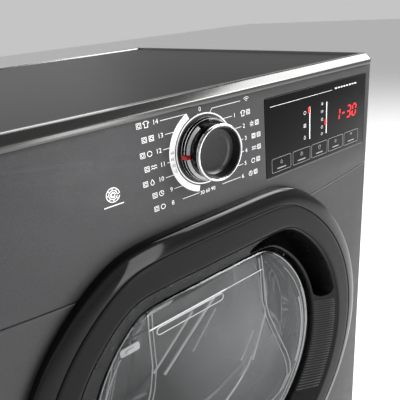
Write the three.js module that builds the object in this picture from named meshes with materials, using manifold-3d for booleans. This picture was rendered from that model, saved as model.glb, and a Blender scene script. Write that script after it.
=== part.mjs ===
// Front-loading laundry machine with a belt-driven drum, a heat-pump base and a water container in its door.
// Millimetres, +Z up, front facing -Y. Depths are counted from the face of the control fascia (y = 0) towards the
// back, and the finished group is shifted so that the origin lies under the middle of the whole machine, on the floor.

import * as THREE from "three";
import { mergeVertices } from "three/addons/utils/BufferGeometryUtils.js";
import Module from "manifold-3d";

const wasm = await Module();
wasm.setup();

// ---------------------------------------------------------------- driving dimensions

const WIDTH = 596;
const HEIGHT = 850;
const DEPTH = 584; // fascia face to the worktop's rear edge
const KNOB_REACH = 26; // how far the knob stands in front of the fascia
const GAP = 0.4; // clearance between neighbouring pieces
const SHEET = 1.6; // steel sheet
const HALF = WIDTH / 2;

const FRONT_SHELL = 30; // depth of the front panel and fascia shells
const BACK_FACE = 574; // rear face of the back panel
const BASE_LOW = 24;
const BASE_HIGH = 64;
const WORKTOP_LOW = 836;
const SEAM_RADIUS = 2300; // curved joint between fascia and front panel
const SEAM_LOW = 675; // lowest point of that joint, behind the door

const DOOR = { z: 473, outer: 268, outerFlat: 244, frame: 248, frameFlat: 223.5, well: 221, wellFlat: 190 };
const WINDOW = { radius: 187, flat: 160 };
const DOOR_FRONT = -16;
const LINER_BACK = 62;
const LINER = { front: 233, frontFlat: 217, rear: 226, rearFlat: 210, hole: 152, wall: 3 };
const HINGE = { x: -274, y: -6, low: 430, high: 516, knuckle: 5.5, pin: 2.5 };
const POCKET = { from: 10, to: 72, inner: 191, outer: 219 }; // handle pocket, degrees above the horizontal

const PORT_RADIUS = 190;
const BULKHEAD = 68; // front face of the front bulkhead
const FUNNEL = { radius: 240, flat: 226, wall: 3.4 }; // the recess that the closed door sits in
const DRUM = { z: 473, radius: 278, front: 96, back: 494, wall: 2, mouth: 262 };
const REAR_BULKHEAD = 500;

const KNOB = { z: 788.8, skirt: 34, grip: 28.3, ring: 30, ringInner: 26.5 };
const DISPLAY = { x0: 90, x1: 288, z0: 727, z1: 824 };

const BELT_Y = 300;
const BELT_WIDTH = 12;
const BELT_THICK = 1.6;
const BELT_CLEAR = 1.2; // room for the drum's flat-sided facets inside the belt
const PULLEY = { x: -120, z: 118, radius: 8, flange: 12 };
const IDLER_RADIUS = 15;
const ROLLER = { radius: 18, angle: 32, y: 104, width: 14 };
const FOOT = { x: 270, front: 48, back: 540, radius: 24, stem: 5 };
const FLAP = { x0: -272, x1: -38, z0: 38, z1: 188 };
const SPINDLE_RADIUS = 10;

// ---------------------------------------------------------------- solids

const rad = THREE.MathUtils.degToRad;

/** Turns a closed three.js geometry into a solid whose faces point out. */
function solid(geometry) {
  const bare = geometry.clone();
  for (const name of Object.keys(bare.attributes)) {
    if (name !== "position") bare.deleteAttribute(name);
  }
  const merged = mergeVertices(bare, 1e-4);
  const position = new Float32Array(merged.attributes.position.array);
  const index = new Uint32Array(merged.index.array);
  if (signedVolume(position, index) < 0) {
    for (let i = 0; i < index.length; i += 3) [index[i], index[i + 1]] = [index[i + 1], index[i]];
  }
  return new wasm.Manifold(new wasm.Mesh({ numProp: 3, vertProperties: position, triVerts: index }));
}

function signedVolume(position, index) {
  const point = (i) => new THREE.Vector3().fromArray(position, 3 * i);
  let total = 0;
  for (let i = 0; i < index.length; i += 3) {
    total += point(index[i]).dot(point(index[i + 1]).cross(point(index[i + 2])));
  }
  return total / 6;
}

/** Box between two corners. */
function block([x0, y0, z0], [x1, y1, z1]) {
  const box = new THREE.BoxGeometry(x1 - x0, y1 - y0, z1 - z0);
  return solid(box.translate((x0 + x1) / 2, (y0 + y1) / 2, (z0 + z1) / 2));
}

/** Rod along the depth axis. */
function rodY(radius, y0, y1, x = 0, z = 0, sides = 16) {
  const rod = new THREE.CylinderGeometry(radius, radius, y1 - y0, sides);
  return solid(rod.translate(x, (y0 + y1) / 2, z));
}

/** Upright rod. */
function rodZ(radius, z0, z1, x, y, sides = 20) {
  const rod = new THREE.CylinderGeometry(radius, radius, z1 - z0, sides);
  return solid(rod.rotateX(Math.PI / 2).translate(x, y, (z0 + z1) / 2));
}

/** Flat outline seen from the front, given thickness from y0 to y1. */
function frontPlate(shape, y0, y1) {
  const plate = new THREE.ExtrudeGeometry(shape, { depth: y1 - y0, bevelEnabled: false, curveSegments: 24 });
  return solid(plate.rotateX(Math.PI / 2).translate(0, y1, 0));
}

/** Body of revolution about a depth axis; the profile holds [radius, y] pairs. */
function turned(profile, x, z, sides = 48) {
  const points = profile.map(([radius, y]) => new THREE.Vector2(radius, y));
  if (profile[0][0] > 0) points.push(points[0].clone());
  return solid(new THREE.LatheGeometry(points, sides).translate(x, 0, z));
}

/** Distance from the door's centre to an outline that is round with a flattened top. */
function flatToppedRadius(radius, flat, angle) {
  const blend = 44;
  const towardsTop = Math.max(Math.sin(angle), 1e-3);
  return (radius ** -blend + (flat / towardsTop) ** -blend) ** (-1 / blend);
}

/** Ring or dish that follows the door's outline; stations hold [radius, flat, y], and radius 0 is the centre. */
function doorLoft(stations, sides = 56) {
  const closed = stations[0][0] > 0;
  const positions = [];
  const rings = stations.map(([radius, flat, y]) => {
    const first = positions.length / 3;
    const count = radius > 0 ? sides : 1;
    for (let i = 0; i < count; i += 1) {
      const angle = (2 * Math.PI * i) / sides;
      const reach = radius > 0 ? flatToppedRadius(radius, flat, angle) : 0;
      positions.push(reach * Math.cos(angle), y, DOOR.z + reach * Math.sin(angle));
    }
    return { first, count };
  });
  const faces = [];
  const last = closed ? rings.length : rings.length - 1;
  for (let k = 0; k < last; k += 1) {
    const a = rings[k];
    const b = rings[(k + 1) % rings.length];
    for (let i = 0; i < sides; i += 1) {
      const next = (i + 1) % sides;
      const a0 = a.first + (a.count > 1 ? i : 0);
      const a1 = a.first + (a.count > 1 ? next : 0);
      const b0 = b.first + (b.count > 1 ? i : 0);
      const b1 = b.first + (b.count > 1 ? next : 0);
      if (a.count > 1) faces.push(a0, a1, b0);
      if (b.count > 1) faces.push(a1, b1, b0);
    }
  }
  const geometry = new THREE.BufferGeometry();
  geometry.setAttribute("position", new THREE.Float32BufferAttribute(positions, 3));
  geometry.setIndex(faces);
  return solid(geometry);
}

/** Solid disc with the door's outline. */
function doorDisc(radius, flat, y0, y1) {
  return doorLoft([
    [0, 0, y0],
    [radius, flat, y0],
    [radius, flat, y1],
    [0, 0, y1],
  ]);
}

/** Hole that the fascia and the front panel leave for the door's recess. */
function recessCutter() {
  const room = FUNNEL.wall + 0.6;
  return doorDisc(FUNNEL.radius + room, FUNNEL.flat + room, -1, FRONT_SHELL + 1);
}

function rectangle(x0, x1, z0, z1) {
  const shape = new THREE.Shape();
  shape.moveTo(x0, z0).lineTo(x1, z0).lineTo(x1, z1).lineTo(x0, z1).closePath();
  return shape;
}

/** Rectangle with one radius at its near corners and another at its far corners. */
function roundedRectangle(x0, x1, y0, y1, near, far) {
  const shape = new THREE.Shape();
  shape.moveTo(x0 + near, y0).lineTo(x1 - near, y0);
  shape.absarc(x1 - near, y0 + near, near, -Math.PI / 2, 0);
  shape.lineTo(x1, y1 - far);
  shape.absarc(x1 - far, y1 - far, far, 0, Math.PI / 2);
  shape.lineTo(x0 + far, y1);
  shape.absarc(x0 + far, y1 - far, far, Math.PI / 2, Math.PI);
  shape.lineTo(x0, y0 + near);
  shape.absarc(x0 + near, y0 + near, near, Math.PI, 1.5 * Math.PI);
  return shape;
}

function seamHeight(x) {
  return SEAM_LOW + x ** 2 / (2 * SEAM_RADIUS);
}

/** Points of the curved joint from left to right, raised by a step. */
function seamPoints(halfWidth, raise) {
  const steps = 24;
  return Array.from({ length: steps + 1 }, (_, i) => {
    const x = -halfWidth + (2 * halfWidth * i) / steps;
    return new THREE.Vector2(x, seamHeight(x) + raise);
  });
}

// ---------------------------------------------------------------- the group

const machine = new THREE.Group();
machine.position.y = -(DEPTH - KNOB_REACH) / 2;

const MATERIALS = {
  graphite: { color: 0x55565a, roughness: 0.42, metalness: 0.35 },
  graphiteDark: { color: 0x3a3b3d, roughness: 0.5, metalness: 0.2 },
  glossBlack: { color: 0x0b0b0c, roughness: 0.12, metalness: 0 },
  black: { color: 0x17181a, roughness: 0.55, metalness: 0 },
  chrome: { color: 0xc9cbce, roughness: 0.12, metalness: 1 },
  steel: { color: 0xb4b7ba, roughness: 0.35, metalness: 0.9 },
  zinc: { color: 0x9a9ea1, roughness: 0.5, metalness: 0.8 },
  clear: { color: 0xe6edef, roughness: 0.05, metalness: 0 },
  rubber: { color: 0x232323, roughness: 0.85, metalness: 0 },
  grey: { color: 0x9b9ea0, roughness: 0.6, metalness: 0 },
  red: { color: 0xc8141c, roughness: 0.35, metalness: 0 },
  board: { color: 0x4b4c4f, roughness: 0.4, metalness: 0 },
  aluminium: { color: 0xc4c6c8, roughness: 0.45, metalness: 0.9 },
};

function add(name, look, body) {
  const { vertProperties, triVerts } = body.getMesh();
  const geometry = new THREE.BufferGeometry();
  geometry.setAttribute("position", new THREE.BufferAttribute(new Float32Array(vertProperties), 3));
  geometry.setIndex(new THREE.BufferAttribute(new Uint32Array(triVerts), 1));
  geometry.computeVertexNormals();
  const mesh = new THREE.Mesh(geometry, new THREE.MeshStandardMaterial(MATERIALS[look]));
  mesh.name = name;
  machine.add(mesh);
}

// ---------------------------------------------------------------- cabinet

/** Moulded tray with a rim, and a hole for each foot's stem. */
function baseTray() {
  const rim = 3;
  const floor = 6;
  const reach = HALF - 5;
  let tray = block([-reach, FRONT_SHELL + 2, BASE_LOW], [reach, BACK_FACE - 4, BASE_HIGH]);
  tray = tray.subtract(
    block([-reach + rim, FRONT_SHELL + 2 + rim, BASE_LOW + floor], [reach - rim, BACK_FACE - 4 - rim, BASE_HIGH + 1]),
  );
  for (const x of [-FOOT.x, FOOT.x]) {
    for (const y of [FOOT.front, FOOT.back]) {
      tray = tray.subtract(rodZ(FOOT.stem + 0.6, BASE_LOW - 1, BASE_LOW + floor + 1, x, y, 16));
    }
  }
  add("base_tray", "black", tray);
}

/** Side sheet with a short return at its front and back edges. */
function sidePanel(name, side) {
  const y0 = FRONT_SHELL + 0.7;
  const y1 = BACK_FACE - SHEET - GAP;
  const outer = side * HALF;
  const inner = side * (HALF - SHEET);
  const lip = side * (HALF - 9);
  const sheet = block([Math.min(outer, inner), y0, BASE_LOW], [Math.max(outer, inner), y1, WORKTOP_LOW - GAP]);
  const fold = (at) =>
    block([Math.min(outer, lip), at, BASE_HIGH + 4], [Math.max(outer, lip), at + SHEET, WORKTOP_LOW - 6]);
  add(name, "graphite", sheet.add(fold(y0)).add(fold(y1 - SHEET)));
}

/** Rear sheet with vent slots, and a duct cover that stands behind it. */
function back() {
  let panel = frontPlate(rectangle(-HALF + 1, HALF - 1, BASE_LOW, WORKTOP_LOW - GAP), BACK_FACE - SHEET, BACK_FACE);
  for (let i = 0; i < 6; i += 1) {
    const z = 96 + 16 * i;
    panel = panel.subtract(block([-60, BACK_FACE - 5, z], [60, BACK_FACE + 5, z + 6]));
  }
  panel = panel.subtract(rodY(14, BACK_FACE - 5, BACK_FACE + 5, 0, DRUM.z));
  add("back_panel", "zinc", panel);

  const wall = 1.6;
  const low = BACK_FACE + GAP;
  const cover = [
    [0, DEPTH],
    [196, DEPTH],
    [206, DEPTH - 6],
    [206, low + wall],
    [222, low + wall],
    [222, low],
    [204, low],
    [204, DEPTH - 7],
    [195, DEPTH - wall],
    [0, DEPTH - wall],
  ];
  add("rear_duct_cover", "zinc", turned(cover, 0, DRUM.z));
}

/** Front sheet: a shallow pan with the porthole and the service opening cut through it. */
function frontPanel() {
  const outline = new THREE.Shape([
    new THREE.Vector2(HALF, BASE_LOW),
    ...seamPoints(HALF, -GAP).reverse(),
    new THREE.Vector2(-HALF, BASE_LOW),
  ]);
  const hollow = new THREE.Shape([
    new THREE.Vector2(HALF - SHEET, BASE_LOW + SHEET),
    ...seamPoints(HALF - SHEET, -GAP - SHEET).reverse(),
    new THREE.Vector2(-HALF + SHEET, BASE_LOW + SHEET),
  ]);
  const panel = frontPlate(outline, 0, FRONT_SHELL)
    .subtract(frontPlate(hollow, SHEET, FRONT_SHELL + 1))
    .subtract(recessCutter())
    .subtract(block([FLAP.x0, -1, FLAP.z0], [FLAP.x1, SHEET + 1, FLAP.z1]));
  add("front_panel", "graphite", panel);
}

/** Control fascia: an open-backed shell with a cut-out for the display and a hole for the selector's shaft. */
function fascia() {
  const wall = 2.6;
  const top = WORKTOP_LOW - GAP;
  const shellOutline = (inset) =>
    new THREE.Shape([
      ...seamPoints(HALF - inset, GAP + inset),
      new THREE.Vector2(HALF - inset, top - inset),
      new THREE.Vector2(-HALF + inset, top - inset),
    ]);
  const shell = frontPlate(shellOutline(0), 0, FRONT_SHELL)
    .subtract(frontPlate(shellOutline(wall), wall, FRONT_SHELL + 1))
    .subtract(block([DISPLAY.x0, -1, DISPLAY.z0], [DISPLAY.x1, wall + 1, DISPLAY.z1]))
    .subtract(recessCutter())
    .subtract(rodY(4, -1, wall + 1, 0, KNOB.z));
  add("control_fascia", "graphite", shell);

  const lens = block(
    [DISPLAY.x0 + GAP, 0.1, DISPLAY.z0 + GAP],
    [DISPLAY.x1 - GAP, wall + 1.4, DISPLAY.z1 - GAP],
  );
  add("display_window", "glossBlack", lens);
  const encoder = block([-16, 7, KNOB.z - 16], [16, 21, KNOB.z + 16]).subtract(rodY(3.6, 0, 17, 0, KNOB.z));
  add("selector_switch", "black", encoder);
}

/** Worktop: a laminated board let into a moulded frame whose outer edge slopes away. */
function worktop() {
  const rim = 14;
  const lip = 6.4;
  const slope = 7;
  const outline = roundedRectangle(-HALF, HALF, -lip, DEPTH, 14, 10);
  const moulding = new THREE.ExtrudeGeometry(outline, {
    depth: HEIGHT - WORKTOP_LOW,
    bevelThickness: slope,
    bevelSize: slope,
    bevelOffset: -slope,
    bevelSegments: 2,
    curveSegments: 5,
  });
  const opening = block([-HALF + rim, 9, WORKTOP_LOW - 20], [HALF - rim, DEPTH - rim, HEIGHT + 1]);
  const frame = solid(moulding.translate(0, 0, WORKTOP_LOW - slope))
    .subtract(block([-WIDTH, -DEPTH, WORKTOP_LOW - 40], [WIDTH, 2 * DEPTH, WORKTOP_LOW]))
    .subtract(opening);
  add("worktop_frame", "graphite", frame);
  const board = block(
    [-HALF + rim + GAP, 9 + GAP, WORKTOP_LOW + GAP],
    [HALF - rim - GAP, DEPTH - rim - GAP, HEIGHT - 3],
  );
  add("worktop_board", "board", board);
}

/** Front bulkhead: a plate with the port, the latch slot and the roller holes, and the funnel the door sits in. */
function bulkheads() {
  const reach = HALF - 11;
  const low = BASE_HIGH + 2;
  const high = WORKTOP_LOW - 36;
  const thick = 3;
  let plate = frontPlate(rectangle(-reach, reach, low, high), BULKHEAD, BULKHEAD + thick);
  const { radius, flat, wall } = FUNNEL;
  const funnel = doorLoft([
    [radius, flat, 0.5],
    [radius + wall, flat + wall, 0.5],
    [radius + wall, flat + wall, BULKHEAD + 1],
    [radius, flat, BULKHEAD + 1],
  ]);
  plate = plate.add(funnel);
  plate = plate.subtract(rodY(PORT_RADIUS, BULKHEAD - 5, BULKHEAD + 9, 0, DOOR.z, 72));
  plate = plate.subtract(block([202, BULKHEAD - 2, 461], [221, BULKHEAD + 9, 485]));
  for (const [x, z] of rollerCentres()) {
    plate = plate.subtract(rodY(4.6, BULKHEAD - 5, BULKHEAD + 9, x, z, 16));
  }
  plate = plate.subtract(block([-265, BULKHEAD - 2, 40], [-47, BULKHEAD + 9, 182]));
  add("front_bulkhead", "zinc", plate);

  let rear = frontPlate(rectangle(-reach, reach, low, high), REAR_BULKHEAD, REAR_BULKHEAD + thick);
  rear = rear.subtract(rodY(22, REAR_BULKHEAD - 5, REAR_BULKHEAD + 9, 0, DRUM.z));
  for (let i = 0; i < 6; i += 1) {
    const angle = rad(60 * i + 30);
    const x = 150 * Math.cos(angle);
    const z = DRUM.z + 150 * Math.sin(angle);
    rear = rear.subtract(rodY(40, REAR_BULKHEAD - 5, REAR_BULKHEAD + 9, x, z, 20));
  }
  add("rear_bulkhead", "zinc", rear);

  const seal = [
    [PORT_RADIUS + 2, LINER_BACK + 0.6],
    [PORT_RADIUS + 10, LINER_BACK + 0.6],
    [PORT_RADIUS + 10, BULKHEAD - GAP],
    [PORT_RADIUS + 2, BULKHEAD - GAP],
  ];
  add("door_seal", "rubber", turned(seal, 0, DOOR.z));
}

/** Door lock: a housing behind the latch slot, open towards the hook. */
function doorLock() {
  const y0 = BULKHEAD + 3 + GAP;
  const housing = block([194, y0, 452], [229, y0 + 20, 494]).subtract(block([198, y0 - 1, 456], [225, y0 + 16, 490]));
  add("door_lock", "black", housing);
}

/** Gland in the back panel for the supply cord. */
function cordGland() {
  const y0 = BACK_FACE + GAP;
  const gland = block([212, y0, 86], [248, y0 + 3, 122]).add(rodY(9, y0 + 1, DEPTH, 230, 104, 20));
  add("cord_gland", "black", gland.subtract(rodY(4, y0 - 1, DEPTH + 1, 230, 104, 16)));
}

/** Levelling feet: a pad on a threaded stem. */
function feet() {
  const places = {
    foot_front_left: [-FOOT.x, FOOT.front],
    foot_front_right: [FOOT.x, FOOT.front],
    foot_rear_left: [-FOOT.x, FOOT.back],
    foot_rear_right: [FOOT.x, FOOT.back],
  };
  for (const [name, [x, y]] of Object.entries(places)) {
    const profile = [
      [0, 0],
      [FOOT.radius - 2, 0],
      [FOOT.radius, 2],
      [FOOT.radius, 8],
      [FOOT.radius - 10, 13],
      [FOOT.stem, 14],
      [FOOT.stem, BASE_LOW + 34],
      [0, BASE_LOW + 34],
    ].map(([radius, z]) => new THREE.Vector2(radius, z));
    add(name, "rubber", solid(new THREE.LatheGeometry(profile, 18).rotateX(Math.PI / 2).translate(x, y, 0)));
  }
}

// ---------------------------------------------------------------- selector

function selector() {
  const skirt = turned(
    [
      [0, -1.2],
      [KNOB.skirt, -1.2],
      [KNOB.skirt, -4],
      [KNOB.skirt - 3, -9],
      [0, -9],
    ],
    0,
    KNOB.z,
    48,
  );
  const notch = block([-KNOB.skirt - 1, -10, KNOB.z - 2], [-30, -2.6, KNOB.z + 2]);
  add("knob_skirt", "chrome", skirt.add(rodY(3, -2, 12, 0, KNOB.z)).subtract(notch));
  const pointer = block([-KNOB.skirt + 0.8, -9.2, KNOB.z - 1.6], [-30.4, -3, KNOB.z + 1.6]);
  add("knob_pointer", "red", pointer);

  const ribs = 18;
  const samples = 54;
  const outline = Array.from({ length: samples }, (_, i) => {
    const angle = (2 * Math.PI * i) / samples;
    const radius = KNOB.grip - 0.8 + 0.8 * Math.cos(ribs * angle);
    return new THREE.Vector2(radius * Math.cos(angle), KNOB.z + radius * Math.sin(angle));
  });
  const face = turned(
    [
      [0, -22.4],
      [20, -23.2],
      [KNOB.ringInner - GAP, -25],
      [KNOB.ringInner - GAP, -19],
      [0, -19],
    ],
    0,
    KNOB.z,
    48,
  );
  add("knob_grip", "black", frontPlate(new THREE.Shape(outline), -20.6, -9 - GAP).add(face));
  const ring = [
    [KNOB.ringInner, -21],
    [KNOB.ring, -21],
    [KNOB.ring, -24.5],
    [KNOB.ring - 1.4, -KNOB_REACH],
    [KNOB.ringInner, -KNOB_REACH],
  ];
  add("knob_ring", "chrome", turned(ring, 0, KNOB.z, 48));
}

// ---------------------------------------------------------------- door

/** Block that holds a sector of the ring between two radii, used to cut the handle pocket. */
function pocketCutter() {
  const shape = new THREE.Shape();
  shape.absarc(0, DOOR.z, POCKET.outer, rad(POCKET.from), rad(POCKET.to));
  shape.absarc(0, DOOR.z, POCKET.inner, rad(POCKET.to), rad(POCKET.from), true);
  return frontPlate(shape, DOOR_FRONT - 1, 40);
}

function door() {
  const back = -1.2;
  const shoulder = -10;
  const hingeNotch = block([-HALF, DOOR_FRONT - 1, HINGE.low - GAP], [-258, 0, HINGE.high + GAP]);
  const bezel = doorLoft([
    [DOOR.outer, DOOR.outerFlat, back],
    [DOOR.outer, DOOR.outerFlat, shoulder],
    [DOOR.frame + GAP, DOOR.frameFlat + GAP, DOOR_FRONT + 0.4],
    [DOOR.frame + GAP, DOOR.frameFlat + GAP, back],
  ]);
  add("door_bezel", "glossBlack", bezel.subtract(hingeNotch));
  const frame = doorLoft([
    [DOOR.frame, DOOR.frameFlat, back],
    [DOOR.frame, DOOR.frameFlat, DOOR_FRONT],
    [DOOR.well, DOOR.wellFlat, DOOR_FRONT],
    [DOOR.well, DOOR.wellFlat, back],
  ]);
  add("door_frame", "graphiteDark", frame);

  const dish = doorLoft([
    [DOOR.well - GAP, DOOR.wellFlat - GAP, DOOR_FRONT + 1],
    [WINDOW.radius, WINDOW.flat, 6],
    [WINDOW.radius, WINDOW.flat, LINER_BACK - 3 - GAP],
    [WINDOW.radius + 2.6, WINDOW.flat + 2.6, LINER_BACK - 3 - GAP],
    [WINDOW.radius + 2.6, WINDOW.flat + 2.6, 9],
    [DOOR.well - GAP, DOOR.wellFlat - GAP, DOOR_FRONT + 5],
  ]);
  add("door_dish", "black", dish.subtract(pocketCutter()));

  const liner = doorLoft([
    [LINER.front, LINER.frontFlat, back + GAP],
    [LINER.rear, LINER.rearFlat, LINER_BACK],
    [LINER.hole, LINER.hole, LINER_BACK],
    [LINER.hole, LINER.hole, LINER_BACK - LINER.wall],
    [LINER.rear - LINER.wall, LINER.rearFlat - LINER.wall, LINER_BACK - LINER.wall],
    [LINER.front - LINER.wall, LINER.frontFlat - LINER.wall, back + GAP],
  ]);
  add("door_liner", "graphiteDark", liner);

  const bowl = [
    [0, 115],
    [90, 112],
    [122, 105],
    [134, 96],
    [150, LINER_BACK + 3.4],
    [170, LINER_BACK + 3.4],
    [170, LINER_BACK + GAP],
    [146.5, LINER_BACK + GAP],
    [130.5, 94],
    [119.5, 102],
    [89, 108.5],
    [0, 111.5],
  ];
  add("door_bowl", "clear", turned(bowl, 0, DOOR.z));

  const hookY = LINER_BACK + GAP;
  const hook = block([204, hookY, 466], [210, hookY + 22, 480]).add(block([204, hookY + 16, 462], [210, hookY + 22, 472]));
  add("door_hook", "steel", hook);
}

/** Clear vessel for the condensed water, open at its spout. */
function waterContainer() {
  const wall = 2.5;
  const front = 8;
  const rear = 56;
  const radius = WINDOW.radius - 4;
  const flat = WINDOW.flat - 4;
  const outside = doorLoft([
    [0, 0, front],
    [radius - 5, flat - 5, front],
    [radius, flat, front + 5],
    [radius, flat, rear],
    [0, 0, rear],
  ]);
  const inside = doorLoft([
    [0, 0, front + wall],
    [radius - 5 - wall, flat - 5 - wall, front + wall],
    [radius - wall, flat - wall, front + wall + 5],
    [radius - wall, flat - wall, rear - wall],
    [0, 0, rear - wall],
  ]);
  const spout = block([40, front + 12, DOOR.z + flat - 20], [72, rear - 14, DOOR.z + flat + 5]);
  add("water_container", "clear", outside.subtract(inside).subtract(spout));
}

/** Hinge at the left of the door: a bracket with one knuckle, a leaf with two, and the pin. */
function hinge() {
  const { x, y, low, high, knuckle, pin } = HINGE;
  const middleLow = low + 28;
  const middleHigh = high - 28;
  const bore = rodZ(pin + 0.35, low - 5, high + 5, x, y);
  const bracket = block([-293, -2.4, low], [-281, -GAP, high])
    .add(block([-283, y - 1.5, middleLow], [x, -GAP, middleHigh]))
    .add(rodZ(knuckle, middleLow, middleHigh, x, y))
    .subtract(bore);
  add("hinge_bracket", "chrome", bracket);
  const leafPlate = block([x, y - 3, low], [-258.4, y + 3, high]);
  const window = block([x - 8, y - 9, middleLow - 0.5], [x + 7, y + 9, middleHigh + 0.5]);
  const leaf = leafPlate.add(rodZ(knuckle, low, high, x, y)).subtract(window).subtract(bore);
  add("hinge_leaf", "steel", leaf);
  add("hinge_pin", "steel", rodZ(pin, low - 2, high + 2, x, y));
}

// ---------------------------------------------------------------- drum and drive

function drum() {
  const { radius, front, back, wall, mouth, z } = DRUM;
  const shell = [
    [0, back - wall],
    [radius - wall, back - wall],
    [radius - wall, front + wall],
    [mouth, front + wall],
    [mouth, front],
    [radius, front],
    [radius, back],
    [0, back],
  ];
  add("drum_shell", "steel", turned(shell, 0, z));

  const flange = rodY(50, back + GAP, REAR_BULKHEAD - GAP, 0, z, 32);
  add("drum_spindle", "steel", flange.add(rodY(SPINDLE_RADIUS, back + 2, 560, 0, z)));
  const bearing = [
    [SPINDLE_RADIUS + 0.3, REAR_BULKHEAD + 3.4],
    [32, REAR_BULKHEAD + 3.4],
    [32, REAR_BULKHEAD + 9],
    [20, REAR_BULKHEAD + 26],
    [SPINDLE_RADIUS + 0.3, REAR_BULKHEAD + 26],
  ];
  add("rear_bearing", "black", turned(bearing, 0, z, 32));
}

/** Lifting paddles inside the drum, 120 degrees apart. */
function paddles() {
  const base = 272;
  const crest = 226;
  for (let i = 0; i < 3; i += 1) {
    const shape = new THREE.Shape([
      new THREE.Vector2(-38, -base),
      new THREE.Vector2(38, -base),
      new THREE.Vector2(24, -crest - 16),
      new THREE.Vector2(12, -crest),
      new THREE.Vector2(-12, -crest),
      new THREE.Vector2(-24, -crest - 16),
    ]);
    const bar = new THREE.ExtrudeGeometry(shape, { depth: 350, bevelEnabled: false });
    bar.rotateX(Math.PI / 2).rotateY(rad(120 * i + 60)).translate(0, DRUM.front + 376, DRUM.z);
    add(`drum_paddle_${i + 1}`, "grey", solid(bar));
  }
}

function rollerCentres() {
  const reach = DRUM.radius + ROLLER.radius + GAP;
  return [-1, 1].map((side) => [
    side * reach * Math.sin(rad(ROLLER.angle)),
    DRUM.z - reach * Math.cos(rad(ROLLER.angle)),
  ]);
}

/** Rollers that carry the drum's front edge. */
function rollers() {
  rollerCentres().forEach(([x, z], i) => {
    const wheel = rodY(ROLLER.radius, ROLLER.y, ROLLER.y + ROLLER.width, x, z, 32);
    add(`drum_roller_${i ? "right" : "left"}`, "rubber", wheel.add(rodY(4, BULKHEAD - 3, ROLLER.y + 1, x, z, 16)));
  });
}

/** Outline of a belt run round the drum and the motor pulley at a distance outside both. */
function beltOutline(offset) {
  const big = DRUM.radius + offset;
  const small = PULLEY.radius + offset;
  const dx = -PULLEY.x;
  const dz = DRUM.z - PULLEY.z;
  const heading = Math.atan2(dz, dx);
  const spread = Math.asin((big - small) / Math.hypot(dx, dz));
  const right = heading - spread - Math.PI / 2;
  const left = heading + spread + Math.PI / 2;
  const shape = new THREE.Path();
  shape.absarc(0, DRUM.z, big, right, left, false);
  shape.absarc(PULLEY.x, PULLEY.z, small, left, right + 2 * Math.PI, false);
  return { points: shape.getPoints(20), right, normal: new THREE.Vector2(Math.cos(right), Math.sin(right)) };
}

function belt() {
  const loop = new THREE.Shape(beltOutline(BELT_CLEAR + BELT_THICK).points);
  const y0 = BELT_Y - BELT_WIDTH / 2;
  const outside = frontPlate(loop, y0, y0 + BELT_WIDTH);
  const inside = frontPlate(new THREE.Shape(beltOutline(BELT_CLEAR).points), y0 - 1, y0 + BELT_WIDTH + 1);
  add("drive_belt", "rubber", outside.subtract(inside));
}

/** Motor with its bored stator, and the rotor that carries the belt pulley and the fan wheel. */
function motor() {
  const { x, z, radius, flange } = PULLEY;
  const stator = rodY(48, 322, 430, x, z, 32).subtract(rodY(7, 320, 432, x, z));
  const cradle = block([x - 40, 330, BASE_LOW + 6 + GAP], [x + 40, 422, z - 42]);
  add("motor_stator", "zinc", stator.add(cradle).subtract(rodY(7, 320, 432, x, z)));
  const pulley = rodY(radius, BELT_Y - 8, BELT_Y + 8, x, z, 32);
  const flanges = rodY(flange, BELT_Y - 10, BELT_Y - 7, x, z).add(rodY(flange, BELT_Y + 7, BELT_Y + 10, x, z));
  add("motor_shaft", "steel", rodY(6, BELT_Y - 10, 484, x, z).add(pulley).add(flanges));

  let wheel = rodY(64, 446, 449, x, z, 32).add(rodY(14, 446, 482, x, z));
  for (let i = 0; i < 8; i += 1) {
    const blade = new THREE.BoxGeometry(3, 34, 22).translate(0, 0, 50).rotateY(rad(45 * i));
    wheel = wheel.add(solid(blade.translate(x, 465, z)));
  }
  add("fan_wheel", "black", wheel.subtract(rodY(6 + 0.3, 440, 490, x, z)));
}

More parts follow.
